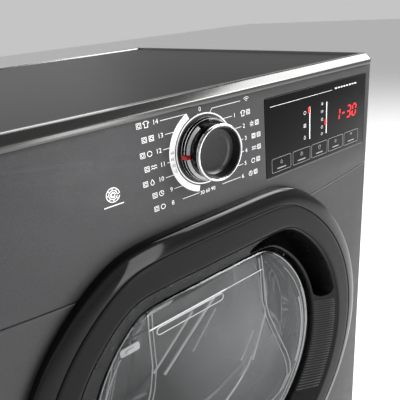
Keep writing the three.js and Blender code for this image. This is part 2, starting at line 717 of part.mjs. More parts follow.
/** Belt tensioner: a wheel on a sprung arm that leans on the belt's slack run. */
function tensioner() {
  const { normal } = beltOutline(BELT_CLEAR);
  const along = new THREE.Vector2(-normal.y, normal.x);
  const start = new THREE.Vector2(PULLEY.x, PULLEY.z).addScaledVector(normal, PULLEY.radius + BELT_CLEAR);
  const wheelAt = start
    .clone()
    .addScaledVector(along, 70)
    .addScaledVector(normal, BELT_THICK + GAP + IDLER_RADIUS);
  const pivotAt = wheelAt.clone().addScaledVector(along, 70);
  const wheel = rodY(IDLER_RADIUS, BELT_Y - 7, BELT_Y + 7, wheelAt.x, wheelAt.y, 32);
  add("idler_wheel", "black", wheel.subtract(rodY(4.4, BELT_Y - 8, BELT_Y + 8, wheelAt.x, wheelAt.y, 16)));

  const arm = new THREE.Shape();
  const side = along.clone().rotateAround(new THREE.Vector2(), Math.PI / 2).multiplyScalar(8);
  arm.moveTo(wheelAt.x + side.x, wheelAt.y + side.y);
  arm.lineTo(pivotAt.x + side.x, pivotAt.y + side.y);
  arm.lineTo(pivotAt.x - side.x, pivotAt.y - side.y);
  arm.lineTo(wheelAt.x - side.x, wheelAt.y - side.y);
  const armSolid = frontPlate(arm, BELT_Y + 8, BELT_Y + 11)
    .add(rodY(8, BELT_Y + 8, BELT_Y + 11, pivotAt.x, pivotAt.y))
    .add(rodY(8, BELT_Y + 8, BELT_Y + 11, wheelAt.x, wheelAt.y))
    .add(rodY(4, BELT_Y - 6, BELT_Y + 9, wheelAt.x, wheelAt.y, 16))
    .subtract(rodY(4.4, BELT_Y, BELT_Y + 20, pivotAt.x, pivotAt.y, 16));
  add("idler_arm", "steel", armSolid);

  const floor = BASE_LOW + 6 + GAP;
  const post = block([pivotAt.x - 14, BELT_Y + 12, floor], [pivotAt.x + 14, BELT_Y + 14, pivotAt.y + 12])
    .add(block([pivotAt.x - 14, BELT_Y + 12, floor], [pivotAt.x + 14, BELT_Y + 40, floor + 2]))
    .add(rodY(4, BELT_Y + 7, BELT_Y + 13, pivotAt.x, pivotAt.y, 16));
  add("idler_bracket", "zinc", post);
}

// ---------------------------------------------------------------- heat pump and service parts

function heatPump() {
  const floor = BASE_LOW + 6 + GAP;
  const pot = [
    [0, floor],
    [48, floor],
    [55, floor + 10],
    [55, 190],
    [44, 208],
    [20, 215],
    [0, 216],
  ].map(([radius, z]) => new THREE.Vector2(radius, z));
  add("compressor", "black", solid(new THREE.LatheGeometry(pot, 32).rotateX(Math.PI / 2).translate(192, 430, 0)));

  const box = { x0: -268, x1: -44, y0: 82, y1: 250, z0: floor, z1: 184 };
  const duct = block([box.x0, box.y0, box.z0], [box.x1, box.y1, box.z1]).subtract(
    block([box.x0 + 3, box.y0 - 1, box.z0 + 3], [box.x1 - 3, box.y1 + 1, box.z1 - 3]),
  );
  add("exchanger_housing", "black", duct);
  add("evaporator", "aluminium", block([box.x0 + 5, 92, box.z0 + 4], [box.x1 - 5, 150, box.z1 - 4]));
  add("condenser", "aluminium", block([box.x0 + 5, 162, box.z0 + 4], [box.x1 - 5, 240, box.z1 - 4]));
  const cover = block([box.x0 + 6, 66, 42], [box.x1 - 6, 74, 180]).add(block([box.x0 + 14, 72, 50], [box.x1 - 14, 80, 172]));
  add("exchanger_cover", "grey", cover);
  for (const [name, x] of [
    ["cover_lever_left", -244],
    ["cover_lever_right", -68],
  ]) {
    const lever = rodY(9, 58, 65.6, x, 112, 24).add(block([x - 5, 58, 84], [x + 5, 63, 140]));
    add(name, "red", lever);
  }
  const pump = rodZ(24, floor, floor + 34, 60, 130, 24).add(block([30, 110, floor], [90, 150, floor + 10]));
  add("drain_pump", "grey", pump);
}

/** Fluff filter under the port, in its own pocket. */
function lintFilter() {
  const y0 = BULKHEAD + 6;
  const y1 = y0 + 18;
  const bottom = 188;
  const top = 280;
  const pocket = block([-100, y0, bottom], [100, y1, top]).subtract(
    block([-97, y0 + 2, bottom + 2], [97, y1 - 2, top + 1]),
  );
  add("filter_pocket", "black", pocket);
  const mid = (y0 + y1) / 2;
  const filter = block([-96.4, mid - 5, bottom + 3], [96.4, mid + 5, top - 1]);
  const grip = block([-20, mid - 3, top - 2], [20, mid + 3, top + 2]);
  add("lint_filter", "grey", filter.add(grip));
}

/** Hinged flap over the service opening in the front panel, with a finger groove at its top. */
function serviceFlap() {
  const flap = block([FLAP.x0 + 1, 0, FLAP.z0 + 1], [FLAP.x1 - 1, 3, FLAP.z1 - 1]);
  const groove = block([(FLAP.x0 + FLAP.x1) / 2 - 30, -1, FLAP.z1 - 8], [(FLAP.x0 + FLAP.x1) / 2 + 30, 1.6, FLAP.z1]);
  add("service_flap", "graphite", flap.subtract(groove));
}

// ---------------------------------------------------------------- assembly

baseTray();
sidePanel("left_side_panel", -1);
sidePanel("right_side_panel", 1);
back();
frontPanel();
fascia();
worktop();
bulkheads();
doorLock();
cordGland();
feet();
selector();
door();
waterContainer();
hinge();
drum();
paddles();
rollers();
belt();
motor();
tensioner();
heatPump();
lintFilter();
serviceFlap();

export default machine;
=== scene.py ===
"""Looks of a front-loading laundry machine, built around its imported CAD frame.

Sizes in this file are millimetres, with depth counted from the face of the control fascia towards the back.
at() turns such a place into metres in the frame's own axes.
"""

from math import cos, exp, hypot, pi, radians, sin, sqrt

import bmesh
import bpy
from mathutils import Matrix, Vector
from mathutils.geometry import tessellate_polygon


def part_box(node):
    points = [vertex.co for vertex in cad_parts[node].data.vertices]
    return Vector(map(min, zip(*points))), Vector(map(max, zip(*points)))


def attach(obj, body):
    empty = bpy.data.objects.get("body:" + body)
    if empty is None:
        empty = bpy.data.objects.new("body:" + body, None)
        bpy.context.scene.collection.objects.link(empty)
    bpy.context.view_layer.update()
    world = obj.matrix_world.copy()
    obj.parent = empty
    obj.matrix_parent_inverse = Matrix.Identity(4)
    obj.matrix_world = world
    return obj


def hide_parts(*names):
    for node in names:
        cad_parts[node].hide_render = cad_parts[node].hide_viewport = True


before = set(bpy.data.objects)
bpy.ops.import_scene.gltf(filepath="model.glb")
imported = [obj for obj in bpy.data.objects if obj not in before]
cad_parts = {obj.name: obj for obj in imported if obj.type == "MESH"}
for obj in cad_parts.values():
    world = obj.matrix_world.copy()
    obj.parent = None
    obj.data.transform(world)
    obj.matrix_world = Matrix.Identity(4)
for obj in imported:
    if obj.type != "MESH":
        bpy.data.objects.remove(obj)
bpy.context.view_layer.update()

MM = 0.001
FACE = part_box("control_fascia")[0].y  # the fascia's face, in metres
HALF = 298.0
DEPTH = 584.0
BACK_FACE = 574.0
TOP = 850.0
WORKTOP_LOW = 836.0
PANEL_TOP = 835.6
WORKTOP_LIP = 6.4  # how far the worktop stands past the fascia
DOOR_Z = 473.0
BASE_LOW = 24.0
KNOB_Z = 788.8
ROW_TOP = 829.5  # first row of marks beside the dial
ROW_STEP = 14.4
SEAM_LOW = 675.0
SEAM_RADIUS = 2300.0
RECESS = (244.0, 230.0)  # radius and flat top of the recess that the door sits in
BULKHEAD = 68.0
LINER_BACK = 62.0
FLAP = (-272.0, -38.0, 38.0, 188.0)
DISPLAY = (90.4, 287.6, 727.4, 823.6)
PRINT_LOW = -0.07  # printed marks stand proud of the fascia between these depths
PRINT_HIGH = -0.01
PRINT_TEXT = PRINT_HIGH - 0.03
FINE = 1

# ---- places and outlines


def at(x, y, z):
    return Vector((x * MM, FACE + y * MM, z * MM))


def front(u, v, depth):
    """Outline seen from the front."""
    return at(u, depth, v)


def above(u, v, depth):
    """Outline seen from above; depth counts down from the worktop's top."""
    return at(u, v, TOP - depth)


def flat_top(radius, flat, angle):
    """Reach of an outline that is round with a flattened top."""
    rise = max(sin(angle), 1e-3)
    return (radius**-44 + (flat / rise) ** -44) ** (-1 / 44)


def door_point(radius, flat, angle, y):
    """Point of a flat-topped ring round the door's axis."""
    reach = flat_top(radius, flat, angle)
    return at(reach * cos(angle), y, DOOR_Z + reach * sin(angle))


def turn(count):
    """Angles of a full turn."""
    return [2 * pi * i / count for i in range(count)]


def arc(radius, start, end, count, x=0.0, z=0.0):
    """Points of an arc between two angles in degrees."""
    steps = [radians(start + (end - start) * i / (count - 1)) for i in range(count)]
    return [(x + radius * cos(a), z + radius * sin(a)) for a in steps]


def rounded(x0, x1, z0, z1, radius, steps=5):
    """Rectangle with rounded corners, anticlockwise."""
    loop = []
    for cx, cz, start in (
        (x1 - radius, z0 + radius, -90),
        (x1 - radius, z1 - radius, 0),
        (x0 + radius, z1 - radius, 90),
        (x0 + radius, z0 + radius, 180),
    ):
        loop += arc(radius, start, start + 90, steps, cx, cz)
    return loop


def inset(loop, amount):
    """The outline moved inwards along its mitred normals."""
    moved = []
    count = len(loop)
    for i in range(count):
        before = Vector(loop[i - 1])
        here = Vector(loop[i])
        after = Vector(loop[(i + 1) % count])
        a = (here - before).normalized()
        b = (after - here).normalized()
        na = Vector((-a.y, a.x))
        nb = Vector((-b.y, b.x))
        mitre = (na + nb) / max(1 + na.dot(nb), 0.3)
        moved.append(tuple(here + mitre * amount))
    return moved


def edge_round(radius, steps=4):
    """(inset, depth) pairs that round the edge between a face and its side."""
    turns = [pi / 2 * i / steps for i in range(steps + 1)]
    return [(radius * (1 - sin(t)), radius * (1 - cos(t))) for t in turns]


# ---- mesh building


class Form:
    """Points and faces of one piece while it is being built."""

    def __init__(self):
        self.points = []
        self.faces = []

    def add(self, points):
        first = len(self.points)
        self.points.extend(Vector(p) for p in points)
        return list(range(first, len(self.points)))

    def face(self, corners):
        self.faces.append(tuple(corners))

    def bridge(self, a, b, closed=True):
        count = len(a)
        for i in range(count if closed else count - 1):
            j = (i + 1) % count
            self.face((a[i], a[j], b[j], b[i]))

    def loft(self, loops, wrap=False, closed=True):
        rings = [self.add(loop) for loop in loops]
        for k in range(len(rings) if wrap else len(rings) - 1):
            self.bridge(rings[k], rings[(k + 1) % len(rings)], closed)
        return rings

    def fill(self, rings):
        """Flat face between an outline and its holes."""
        loops = [[self.points[i] for i in ring] for ring in rings]
        flat = [i for ring in rings for i in ring]
        for corners in tessellate_polygon(loops):
            self.face([flat[k] for k in corners])

    def closed_loft(self, loops):
        """Loft with both ends capped."""
        rings = self.loft(loops)
        self.face(rings[0])
        self.face(rings[-1])

    def plate(self, outline, holes, place, low, high, bevel, skin=None, wall=None):
        """Plate with rounded edges between two depths; with skin and wall it is a pan, open at its back."""
        edge = [(a, low + d) for a, d in edge_round(bevel)]
        stations = edge + [(0.0, high - 0.3), (0.3, high)]
        floor = high
        if skin:
            stations += [(wall, high), (wall, low + skin)]
            floor = low + skin
        outer = self.loft([[place(u, v, d) for u, v in inset(outline, a)] for a, d in stations])
        fronts = [outer[0]]
        backs = [outer[-1]]
        for hole in holes:
            cut = edge + [(0.0, floor)]
            rings = self.loft([[place(u, v, d) for u, v in inset(hole, -a)] for a, d in cut])
            fronts.append(rings[0])
            backs.append(rings[-1])
        self.fill(fronts)
        self.fill(backs)

    def ribbon(self, path, width, place, low, high, closed=False):
        """Flat strip along a path, for printed lines and thin bars."""
        count = len(path)
        left = []
        right = []
        for i in range(count):
            before = Vector(path[i - 1] if i or closed else path[i])
            here = Vector(path[i])
            after = Vector(path[(i + 1) % count] if i < count - 1 or closed else path[i])
            a = (here - before).normalized()
            b = (after - here).normalized()
            a = a if a.length else b
            b = b if b.length else a
            normal = Vector((-a.y - b.y, a.x + b.x)) / max(1 + a.dot(b), 0.4)
            left.append(here + normal * width / 2)
            right.append(here - normal * width / 2)
        loops = [
            [place(p.x, p.y, low) for p in left],
            [place(p.x, p.y, low) for p in right],
            [place(p.x, p.y, high) for p in right],
            [place(p.x, p.y, high) for p in left],
        ]
        rings = self.loft(loops, wrap=True, closed=closed)
        if not closed:
            self.face([ring[0] for ring in rings])
            self.face([ring[-1] for ring in rings])

    def lathe(self, profile, centre, axis="y", sides=96, wrap=True):
        """Body of revolution. The profile holds (radius, distance along the axis) pairs in millimetres."""
        loops = []
        for radius, along in profile:
            loop = []
            for a in turn(sides // FINE):
                u = radius * cos(a)
                v = radius * sin(a)
                if axis == "y":
                    loop.append(at(centre[0] + u, along, centre[1] + v))
                else:
                    loop.append(at(centre[0] + u, centre[1] + v, along))
            loops.append(loop)
        if wrap:
            self.loft(loops, wrap=True)
        else:
            self.closed_loft(loops)

    def tube(self, path, radius, sides):
        """Round bar along a path of points in metres."""
        loops = []
        for i, point in enumerate(path):
            ahead = path[min(i + 1, len(path) - 1)] - path[max(i - 1, 0)]
            turned = ahead.to_track_quat("Z", "Y")
            ring = [turned @ Vector((cos(a), sin(a), 0)) * radius * MM for a in turn(sides)]
            loops.append([point + r for r in ring])
        self.closed_loft(loops)

    def text(self, words, size, x, z, place, low, align="CENTER"):
        """Raised printed characters."""
        curve = bpy.data.curves.new("words", "FONT")
        curve.body = words
        curve.size = size * MM
        curve.align_x = align
        curve.align_y = "CENTER"
        curve.resolution_u = 3
        curve.extrude = 0.03 * MM
        holder = bpy.data.objects.new("words", curve)
        mesh = bpy.data.meshes.new_from_object(holder)
        points = [place(x + v.co.x / MM, z + v.co.y / MM, low - v.co.z / MM) for v in mesh.vertices]
        first = self.add(points)[0] if points else 0
        for polygon in mesh.polygons:
            self.face([first + i for i in polygon.vertices])
        bpy.data.objects.remove(holder)
        bpy.data.meshes.remove(mesh)
        bpy.data.curves.remove(curve)


def piece(name, form, body, look, stands_for=(), angle=32):
    """Makes the object, puts it on the body it rides on, and hides the CAD nodes it stands for."""
    mesh = bpy.data.meshes.new(name)
    mesh.from_pydata(form.points, [], form.faces)
    work = bmesh.new()
    work.from_mesh(mesh)
    bmesh.ops.remove_doubles(work, verts=work.verts, dist=1e-7)
    bmesh.ops.recalc_face_normals(work, faces=work.faces)
    work.to_mesh(mesh)
    work.free()
    mesh.materials.append(LOOK[look])
    mesh.shade_smooth()
    mesh.set_sharp_from_angle(angle=radians(angle))
    obj = bpy.data.objects.new(name, mesh)
    bpy.context.scene.collection.objects.link(obj)
    if stands_for:
        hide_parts(*stands_for)
    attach(obj, body)


# ---- materials


def new_look(name):
    look = bpy.data.materials.new(name)
    look.use_nodes = True
    tree = look.node_tree
    return look, tree, tree.nodes["Principled BSDF"]


def put(node, values):
    """Values of a shader node's inputs."""
    for socket, value in values.items():
        node.inputs[socket].default_value = value


def object_space(tree, stretch=(1.0, 1.0, 1.0)):
    space = tree.nodes.new("ShaderNodeTexCoord")
    mapping = tree.nodes.new("ShaderNodeMapping")
    put(mapping, {"Scale": stretch})
    tree.links.new(space.outputs["Object"], mapping.inputs["Vector"])
    return mapping.outputs["Vector"]


def noise(tree, vector, scale, detail=2.0):
    node = tree.nodes.new("ShaderNodeTexNoise")
    put(node, {"Scale": scale, "Detail": detail})
    tree.links.new(vector, node.inputs["Vector"])
    return node.outputs["Fac"]


def spread(tree, value, low, high, out_low, out_high):
    node = tree.nodes.new("ShaderNodeMapRange")
    for socket, number in zip(("From Min", "From Max", "To Min", "To Max"), (low, high, out_low, out_high)):
        node.inputs[socket].default_value = number
    tree.links.new(value, node.inputs["Value"])
    return node.outputs["Result"]


def mix(tree, factor, a, b):
    node = tree.nodes.new("ShaderNodeMix")
    node.data_type = "RGBA"
    tree.links.new(factor, node.inputs["Factor"])
    for socket, colour in ((node.inputs[6], a), (node.inputs[7], b)):
        if isinstance(colour, tuple):
            socket.default_value = (*colour, 1.0)
        else:
            tree.links.new(colour, socket)
    return node.outputs[2]


def scaled(colour, factor):
    """Colour made lighter or darker."""
    return tuple(min(c * factor, 1.0) for c in colour)


def bump(tree, bsdf, height, depth):
    node = tree.nodes.new("ShaderNodeBump")
    put(node, {"Strength": 1.0, "Distance": depth * MM})
    tree.links.new(height, node.inputs["Height"])
    tree.links.new(node.outputs["Normal"], bsdf.inputs["Normal"])


def surface(
    name,
    colour,
    rough,
    metal=0.0,
    mottle=0.06,
    broad=9.0,
    loose=0.05,
    grain=1400.0,
    depth=0.003,
    flake=0.0,
    wear=0.12,
    coat=0.0,
    gloss=0.5,
    stretch=(1.0, 1.0, 1.0),
):
    """Solid finish: slow colour drift, fine grain in roughness and bump, flakes, and worn edges."""
    look, tree, bsdf = new_look(name)
    space = object_space(tree, stretch)
    drift = noise(tree, space, broad, 3.0)
    fine = noise(tree, space, grain, 2.0)
    tone = mix(tree, drift, scaled(colour, 1 - mottle), scaled(colour, 1 + mottle))
    if flake:
        sparkle = spread(tree, fine, 0.52, 0.72, 0.0, 1.0)
        tone = mix(tree, sparkle, tone, scaled(colour, 1 + flake))
    if wear:
        geometry = tree.nodes.new("ShaderNodeNewGeometry")
        worn = spread(tree, geometry.outputs["Pointiness"], 0.55, 0.68, 0.0, 1.0)
        lift = tuple(c + (1 - c) * wear for c in colour)
        tone = mix(tree, worn, tone, lift)
    tree.links.new(tone, bsdf.inputs["Base Color"])
    patch = noise(tree, space, broad * 6, 4.0)
    tree.links.new(spread(tree, patch, 0.3, 0.7, rough - loose, rough + loose), bsdf.inputs["Roughness"])
    put(bsdf, {"Metallic": metal, "Specular IOR Level": gloss})
    if coat:
        put(bsdf, {"Coat Weight": coat, "Coat Roughness": 0.08})
    bump(tree, bsdf, fine, depth)
    return look


def clear(name, tint, rough, ior):
    """Clear glass or plastic that lets lamps through to what it covers."""
    look, tree, bsdf = new_look(name)
    space = object_space(tree)
    ripple = noise(tree, space, 14.0, 2.0)
    haze = noise(tree, space, 60.0, 4.0)
    tree.links.new(mix(tree, haze, scaled(tint, 0.97), tint), bsdf.inputs["Base Color"])
    tree.links.new(spread(tree, haze, 0.35, 0.75, rough, rough + 0.03), bsdf.inputs["Roughness"])
    put(bsdf, {"Transmission Weight": 1.0, "IOR": ior})
    bump(tree, bsdf, ripple, 0.2)
    path = tree.nodes.new("ShaderNodeLightPath")
    through = tree.nodes.new("ShaderNodeBsdfTransparent")
    put(through, {"Color": (*scaled(tint, 0.95), 1.0)})
    blend = tree.nodes.new("ShaderNodeMixShader")
    tree.links.new(path.outputs["Is Shadow Ray"], blend.inputs["Fac"])
    tree.links.new(bsdf.outputs["BSDF"], blend.inputs[1])
    tree.links.new(through.outputs["BSDF"], blend.inputs[2])
    output = next(n for n in tree.nodes if n.type == "OUTPUT_MATERIAL")
    tree.links.new(blend.outputs["Shader"], output.inputs["Surface"])
    return look


def pane(name, tint):
    """Thin clear wall: mirrors more towards its edges, and shows what is behind it unbent."""
    look, tree, bsdf = new_look(name)
    tree.nodes.remove(bsdf)
    space = object_space(tree)
    ripple = tree.nodes.new("ShaderNodeBump")
    put(ripple, {"Distance": 0.15 * MM})
    tree.links.new(noise(tree, space, 18.0, 2.0), ripple.inputs["Height"])
    mirror = tree.nodes.new("ShaderNodeBsdfAnisotropic")
    put(mirror, {"Roughness": 0.04})
    cloud = noise(tree, space, 30.0, 3.0)
    tree.links.new(mix(tree, cloud, (0.8, 0.81, 0.82), (0.95, 0.96, 0.97)), mirror.inputs["Color"])
    tree.links.new(ripple.outputs["Normal"], mirror.inputs["Normal"])
    through = tree.nodes.new("ShaderNodeBsdfTransparent")
    put(through, {"Color": (tint, tint, tint, 1.0)})
    fresnel = tree.nodes.new("ShaderNodeFresnel")
    put(fresnel, {"IOR": 1.49})
    blend = tree.nodes.new("ShaderNodeMixShader")
    tree.links.new(fresnel.outputs["Fac"], blend.inputs["Fac"])
    tree.links.new(through.outputs["BSDF"], blend.inputs[1])
    tree.links.new(mirror.outputs["BSDF"], blend.inputs[2])
    output = next(n for n in tree.nodes if n.type == "OUTPUT_MATERIAL")
    tree.links.new(blend.outputs["Shader"], output.inputs["Surface"])
    return look


def fog(name, colour, thick, thin, middle, reach):
    """Moulded plastic that scatters light, and hides most round its middle, a point in millimetres."""
    look, tree, bsdf = new_look(name)
    space = object_space(tree)
    cloud = noise(tree, space, 16.0, 4.0)
    tree.links.new(mix(tree, cloud, scaled(colour, 0.7), colour), bsdf.inputs["Base Color"])
    put(bsdf, {"Roughness": 0.35})
    away = tree.nodes.new("ShaderNodeVectorMath")
    away.operation = "DISTANCE"
    away.inputs[1].default_value = at(*middle)
    tree.links.new(space, away.inputs[0])
    tree.links.new(spread(tree, away.outputs["Value"], 0.0, reach * MM, thick, thin), bsdf.inputs["Alpha"])
    bump(tree, bsdf, cloud, 0.05)
    return look


def lit(name, colour, strength):
    """Print, display segment or highlight line that glows a little. The red display segments are the
    display's own light; the glow on the fascia print and on the highlight lines is painted light.
    """
    look, tree, bsdf = new_look(name)
    space = object_space(tree)
    tone = mix(tree, noise(tree, space, 220.0, 2.0), scaled(colour, 0.9), colour)
    tree.links.new(tone, bsdf.inputs["Base Color"])
    put(bsdf, {"Roughness": 0.45, "Emission Color": (*colour, 1.0), "Emission Strength": strength})
    return look


def perforated(name, colour):
    """Drum steel with turned streaks."""
    look, tree, bsdf = new_look(name)
    space = object_space(tree, (1.0, 26.0, 1.0))
    streak = noise(tree, space, 90.0, 3.0)
    drift = noise(tree, object_space(tree), 6.0, 2.0)
    tone = mix(tree, drift, scaled(colour, 0.86), scaled(colour, 1.08))
    tree.links.new(mix(tree, spread(tree, streak, 0.4, 0.6, 0.0, 0.35), tone, scaled(colour, 0.72)),
                   bsdf.inputs["Base Color"])
    tree.links.new(spread(tree, streak, 0.3, 0.7, 0.2, 0.36), bsdf.inputs["Roughness"])
    put(bsdf, {"Metallic": 1.0})
    bump(tree, bsdf, streak, 0.01)
    return look


PAINT = dict(colour=(0.056, 0.0555, 0.058), rough=0.4, metal=0.25, flake=0.7, grain=2600.0, gloss=0.35)
LOOK = {
    "steel_paint": surface("graphite_steel_paint", **PAINT),
    "fascia_paint": surface("graphite_fascia_paint", **PAINT),
    "frame_paint": surface("worktop_frame_paint", (0.13, 0.129, 0.127), 0.2, 0.85, loose=0.01, grain=2600.0,
                           depth=0.0004, wear=0.0),
    "board": surface("worktop_laminate", (0.036, 0.036, 0.037), 0.46, mottle=0.02, broad=3.0, loose=0.0,
                     grain=700.0, depth=0.004, gloss=0.02, wear=0.0),
    "door_ring": surface("door_ring_satin", (0.0085, 0.0083, 0.0083), 0.34, grain=1800.0, gloss=0.14),
    "piano": surface("piano_black", (0.003, 0.003, 0.003), 0.07, loose=0.01, depth=0.0004, wear=0.0,
                     gloss=0.32),
    "lens": surface("display_black", (0.004, 0.004, 0.0042), 0.1, loose=0.02, depth=0.0004, wear=0.0,
                    gloss=0.2),
    "knob_face": surface("knob_face_satin", (0.02, 0.02, 0.0205), 0.24, depth=0.002, wear=0.0, gloss=0.4),
    "dish": surface("dish_black", (0.006, 0.006, 0.0062), 0.3, grain=1500.0, gloss=0.2),
    "grip_ribs": surface("grip_dark", (0.018, 0.018, 0.0185), 0.42, grain=1500.0, depth=0.004, gloss=0.3),
    "black": surface("moulded_black", (0.012, 0.012, 0.0125), 0.5, grain=1100.0, depth=0.012, gloss=0.3),
    "liner": surface("liner_grey", (0.04, 0.041, 0.043), 0.45, grain=1100.0, depth=0.01),
    "grey": surface("moulded_grey", (0.33, 0.34, 0.35), 0.48, grain=1000.0, depth=0.012),
    # light material of the block that stands in for the reflection at the vessel's left end: painted
    # reflection
    "white": surface("painted_reflection_white", (0.34, 0.34, 0.35), 0.2, grain=1000.0, depth=0.002, wear=0.0),
    "chrome": surface("bright_chrome", (0.86, 0.86, 0.87), 0.14, 1.0, loose=0.03, mottle=0.02,
                      depth=0.0006, wear=0.0),
    "silver": surface("satin_silver", (0.62, 0.62, 0.63), 0.3, 0.2, depth=0.001, wear=0.0),
    "steel": surface("turned_steel", (0.52, 0.53, 0.54), 0.3, 1.0, stretch=(1.0, 18.0, 1.0), depth=0.006),
    "zinc": surface("galvanised_sheet", (0.36, 0.37, 0.38), 0.45, 0.8, mottle=0.16, broad=46.0, depth=0.004),
    "rubber": surface("matt_rubber", (0.022, 0.022, 0.022), 0.75, mottle=0.18, grain=800.0, depth=0.02),
    "red": surface("red_plastic", (0.6, 0.01, 0.012), 0.3, depth=0.002),
    "fins": surface("aluminium_fins", (0.6, 0.61, 0.62), 0.4, 0.9, depth=0.01),
    "pot": surface("black_enamel", (0.012, 0.012, 0.012), 0.24, 0.1, loose=0.06, depth=0.01, coat=0.3),
    # the glow of this white print is painted brightness on the fascia marks
    "print": lit("white_print", (0.9, 0.9, 0.9), 0.3),
    "soft_print": lit("grey_print", (0.34, 0.34, 0.35), 0.06),
    "red_light": lit("red_segments", (0.9, 0.01, 0.012), 1.3),
    "drum": perforated("drum_steel", (0.22, 0.225, 0.23)),
    "vessel": clear("clear_vessel", (0.93, 0.95, 0.955), 0.0, 1.47),
    "bowl": clear("door_glass", (0.94, 0.96, 0.955), 0.0, 1.5),
    "shell": pane("vessel_shell", 0.87),
    "frosted": fog("vessel_frosted", (0.85, 0.86, 0.87), 0.3, 0.12, (60.0, 35.0, 560.0), 150.0),
    "mist": fog("vessel_mist", (0.85, 0.86, 0.87), 0.5, 0.02, (74.0, 22.0, 520.0), 150.0),
    # painted highlight: glowing lines that stand in for highlights and reflections on the clear vessel's
    # edges
    "painted_highlight": lit("painted_edge_highlights", (0.7, 0.71, 0.72), 0.22),
}

# ---- worktop

RIM_WIDTH = 14.0
RIM_FLAT_END = 12.4
BOARD_FRONT = 9.0  # depth at which the frame's opening starts
BOARD_GAP = 0.5


def worktop():
    rim = Form()
    loop = rounded(-HALF, HALF, -WORKTOP_LIP, DEPTH, 14.0, 8)
    profile = [
        (3.0, 14.0), (0.5, 13.6), (0.0, 12.6), (0.0, 8.6), (0.25, 7.8), (0.9, 7.0), (6.0, 1.5),
        (7.4, 0.4), (9.0, 0.0), (RIM_FLAT_END, 0.0), (13.5, 0.3), (13.9, 1.2), (RIM_WIDTH, 13.9),
    ]
    loops = []
    for amount, down in profile:
        ring = inset(loop, min(amount, 13.0))
        if amount >= RIM_FLAT_END:
            low_y = BOARD_FRONT - (RIM_WIDTH - amount)
            ring = rounded(-HALF + amount, HALF - amount, low_y, DEPTH - amount, 2.0, 8)
        loops.append([above(u, v, down) for u, v in ring])
    rim.loft(loops, wrap=True)
    piece("worktop_rim", rim, "cabinet", "frame_paint", ["worktop_frame"])

    board = Form()
    side = HALF - RIM_WIDTH - BOARD_GAP
    rear = DEPTH - RIM_WIDTH - BOARD_GAP
    outline = rounded(-side, side, BOARD_FRONT + BOARD_GAP, rear, 1.6, 4)
    board.plate(outline, [], above, 3.0, 13.5, 0.7)
    piece("worktop_panel", board, "cabinet", "board", ["worktop_board"])


# ---- fascia and front panel


def seam(x):
    """Height of the curved joint between the fascia and the front panel."""
    return SEAM_LOW + x**2 / (2 * SEAM_RADIUS)


def recess(angle):
    """Edge of the recess that the door sits in."""
    reach = flat_top(*RECESS, angle)
    return (reach * cos(angle), DOOR_Z + reach * sin(angle))


def crossing():
    """Angle at which the door's recess meets the curved joint."""
    low = radians(30)
    high = radians(88)
    for _ in range(40):
        middle = (low + high) / 2
        x, z = recess(middle)
        low, high = (middle, high) if z < seam(x) else (low, middle)
    return low


def front_shells():
    angle = crossing()
    meet = recess(angle)[0]
    side = [HALF - (HALF - meet) * i / 20 for i in range(21)]
    over = [recess(angle + (pi - 2 * angle) * i / 60) for i in range(1, 60)]
    gap = 0.35
    top = WORKTOP_LOW - 0.4
    fascia = [(-x, seam(x) + gap) for x in side] + [(x, z) for x, z in reversed(over)]
    fascia += [(x, seam(x) + gap) for x in reversed(side)] + [(HALF, top), (-HALF, top)]
    shell = Form()
    window = rounded(DISPLAY[0] - 0.4, DISPLAY[1] + 0.4, DISPLAY[2] - 0.4, DISPLAY[3] + 0.4, 2.4)
    shaft = arc(4.0, 0, 330, 12, 0, KNOB_Z)
    shell.plate(fascia, [window, shaft], front, 0.0, 30.0, 1.4, skin=2.6, wall=2.6)
    piece("fascia_shell", shell, "cabinet", "fascia_paint", ["control_fascia"])

    under = [recess(angle - (pi + 2 * angle) * i / 150) for i in range(1, 150)]
    sheet = [(-HALF, BASE_LOW), (HALF, BASE_LOW)] + [(x, seam(x) - gap) for x in side]
    sheet += under + [(-x, seam(x) - gap) for x in reversed(side)]
    pan = Form()
    opening = rounded(*FLAP, 2.0)
    pan.plate(sheet, [opening], front, 0.0, 30.0, 1.6, skin=1.6, wall=1.6)
    piece("front_sheet", pan, "cabinet", "steel_paint", ["front_panel"])

    flap = Form()
    x0, x1, z0, z1 = FLAP
    middle = (x0 + x1) / 2
    grip = rounded(middle - 30, middle + 30, z1 - 12, z1 - 5, 3.0)
    flap.plate(rounded(x0 + 1, x1 - 1, z0 + 1, z1 - 1, 2.0), [grip], front, 0.0, 3.0, 0.9)
    piece("flap_panel", flap, "service_flap", "fascia_paint", ["service_flap"])


# ---- printed marks

SUN_RAYS = ((1, 0), (0, 1), (-1, 0), (0, -1), (0.7, 0.7), (-0.7, 0.7), (0.7, -0.7), (-0.7, -0.7))
ICONS = {
    "ring": [arc(2.6, 0, 345, 16)],
    "drop": [[(0, 3), (2, -0.4), (1.4, -2.4), (0, -3), (-1.4, -2.4), (-2, -0.4), (0, 3)]],
    "wave": [
        [(-3.4, 0.9), (-1.7, 2.0), (0, 0.9), (1.7, 2.0), (3.4, 0.9)],
        [(-3.4, -1.6), (-1.7, -0.5), (0, -1.6), (1.7, -0.5), (3.4, -1.6)],
    ],
    "shirt": [
        [(-3.4, 1.4), (-1.4, 2.9), (1.4, 2.9), (3.4, 1.4), (2.4, 0.4), (1.8, 0.9), (1.8, -3), (-1.8, -3),
         (-1.8, 0.9), (-2.4, 0.4), (-3.4, 1.4)],
    ],
    "clock": [arc(2.7, 0, 345, 16), [(0, 1.8), (0, 0), (1.3, -0.7)]],
    "square": [[(-2.5, -2.5), (2.5, -2.5), (2.5, 2.5), (-2.5, 2.5), (-2.5, -2.5)], arc(1.5, 0, 340, 10)],
    "sun": [arc(1.4, 0, 330, 9)] + [[(2.2 * c, 2.2 * s), (3.3 * c, 3.3 * s)] for c, s in SUN_RAYS],
    "loop": [arc(2.5, 60, 260, 10), arc(2.5, 250, 420, 9)],
    "link": [arc(1.2, 45, 135, 5), arc(2.6, 45, 135, 7), arc(4.0, 45, 135, 9)],
}


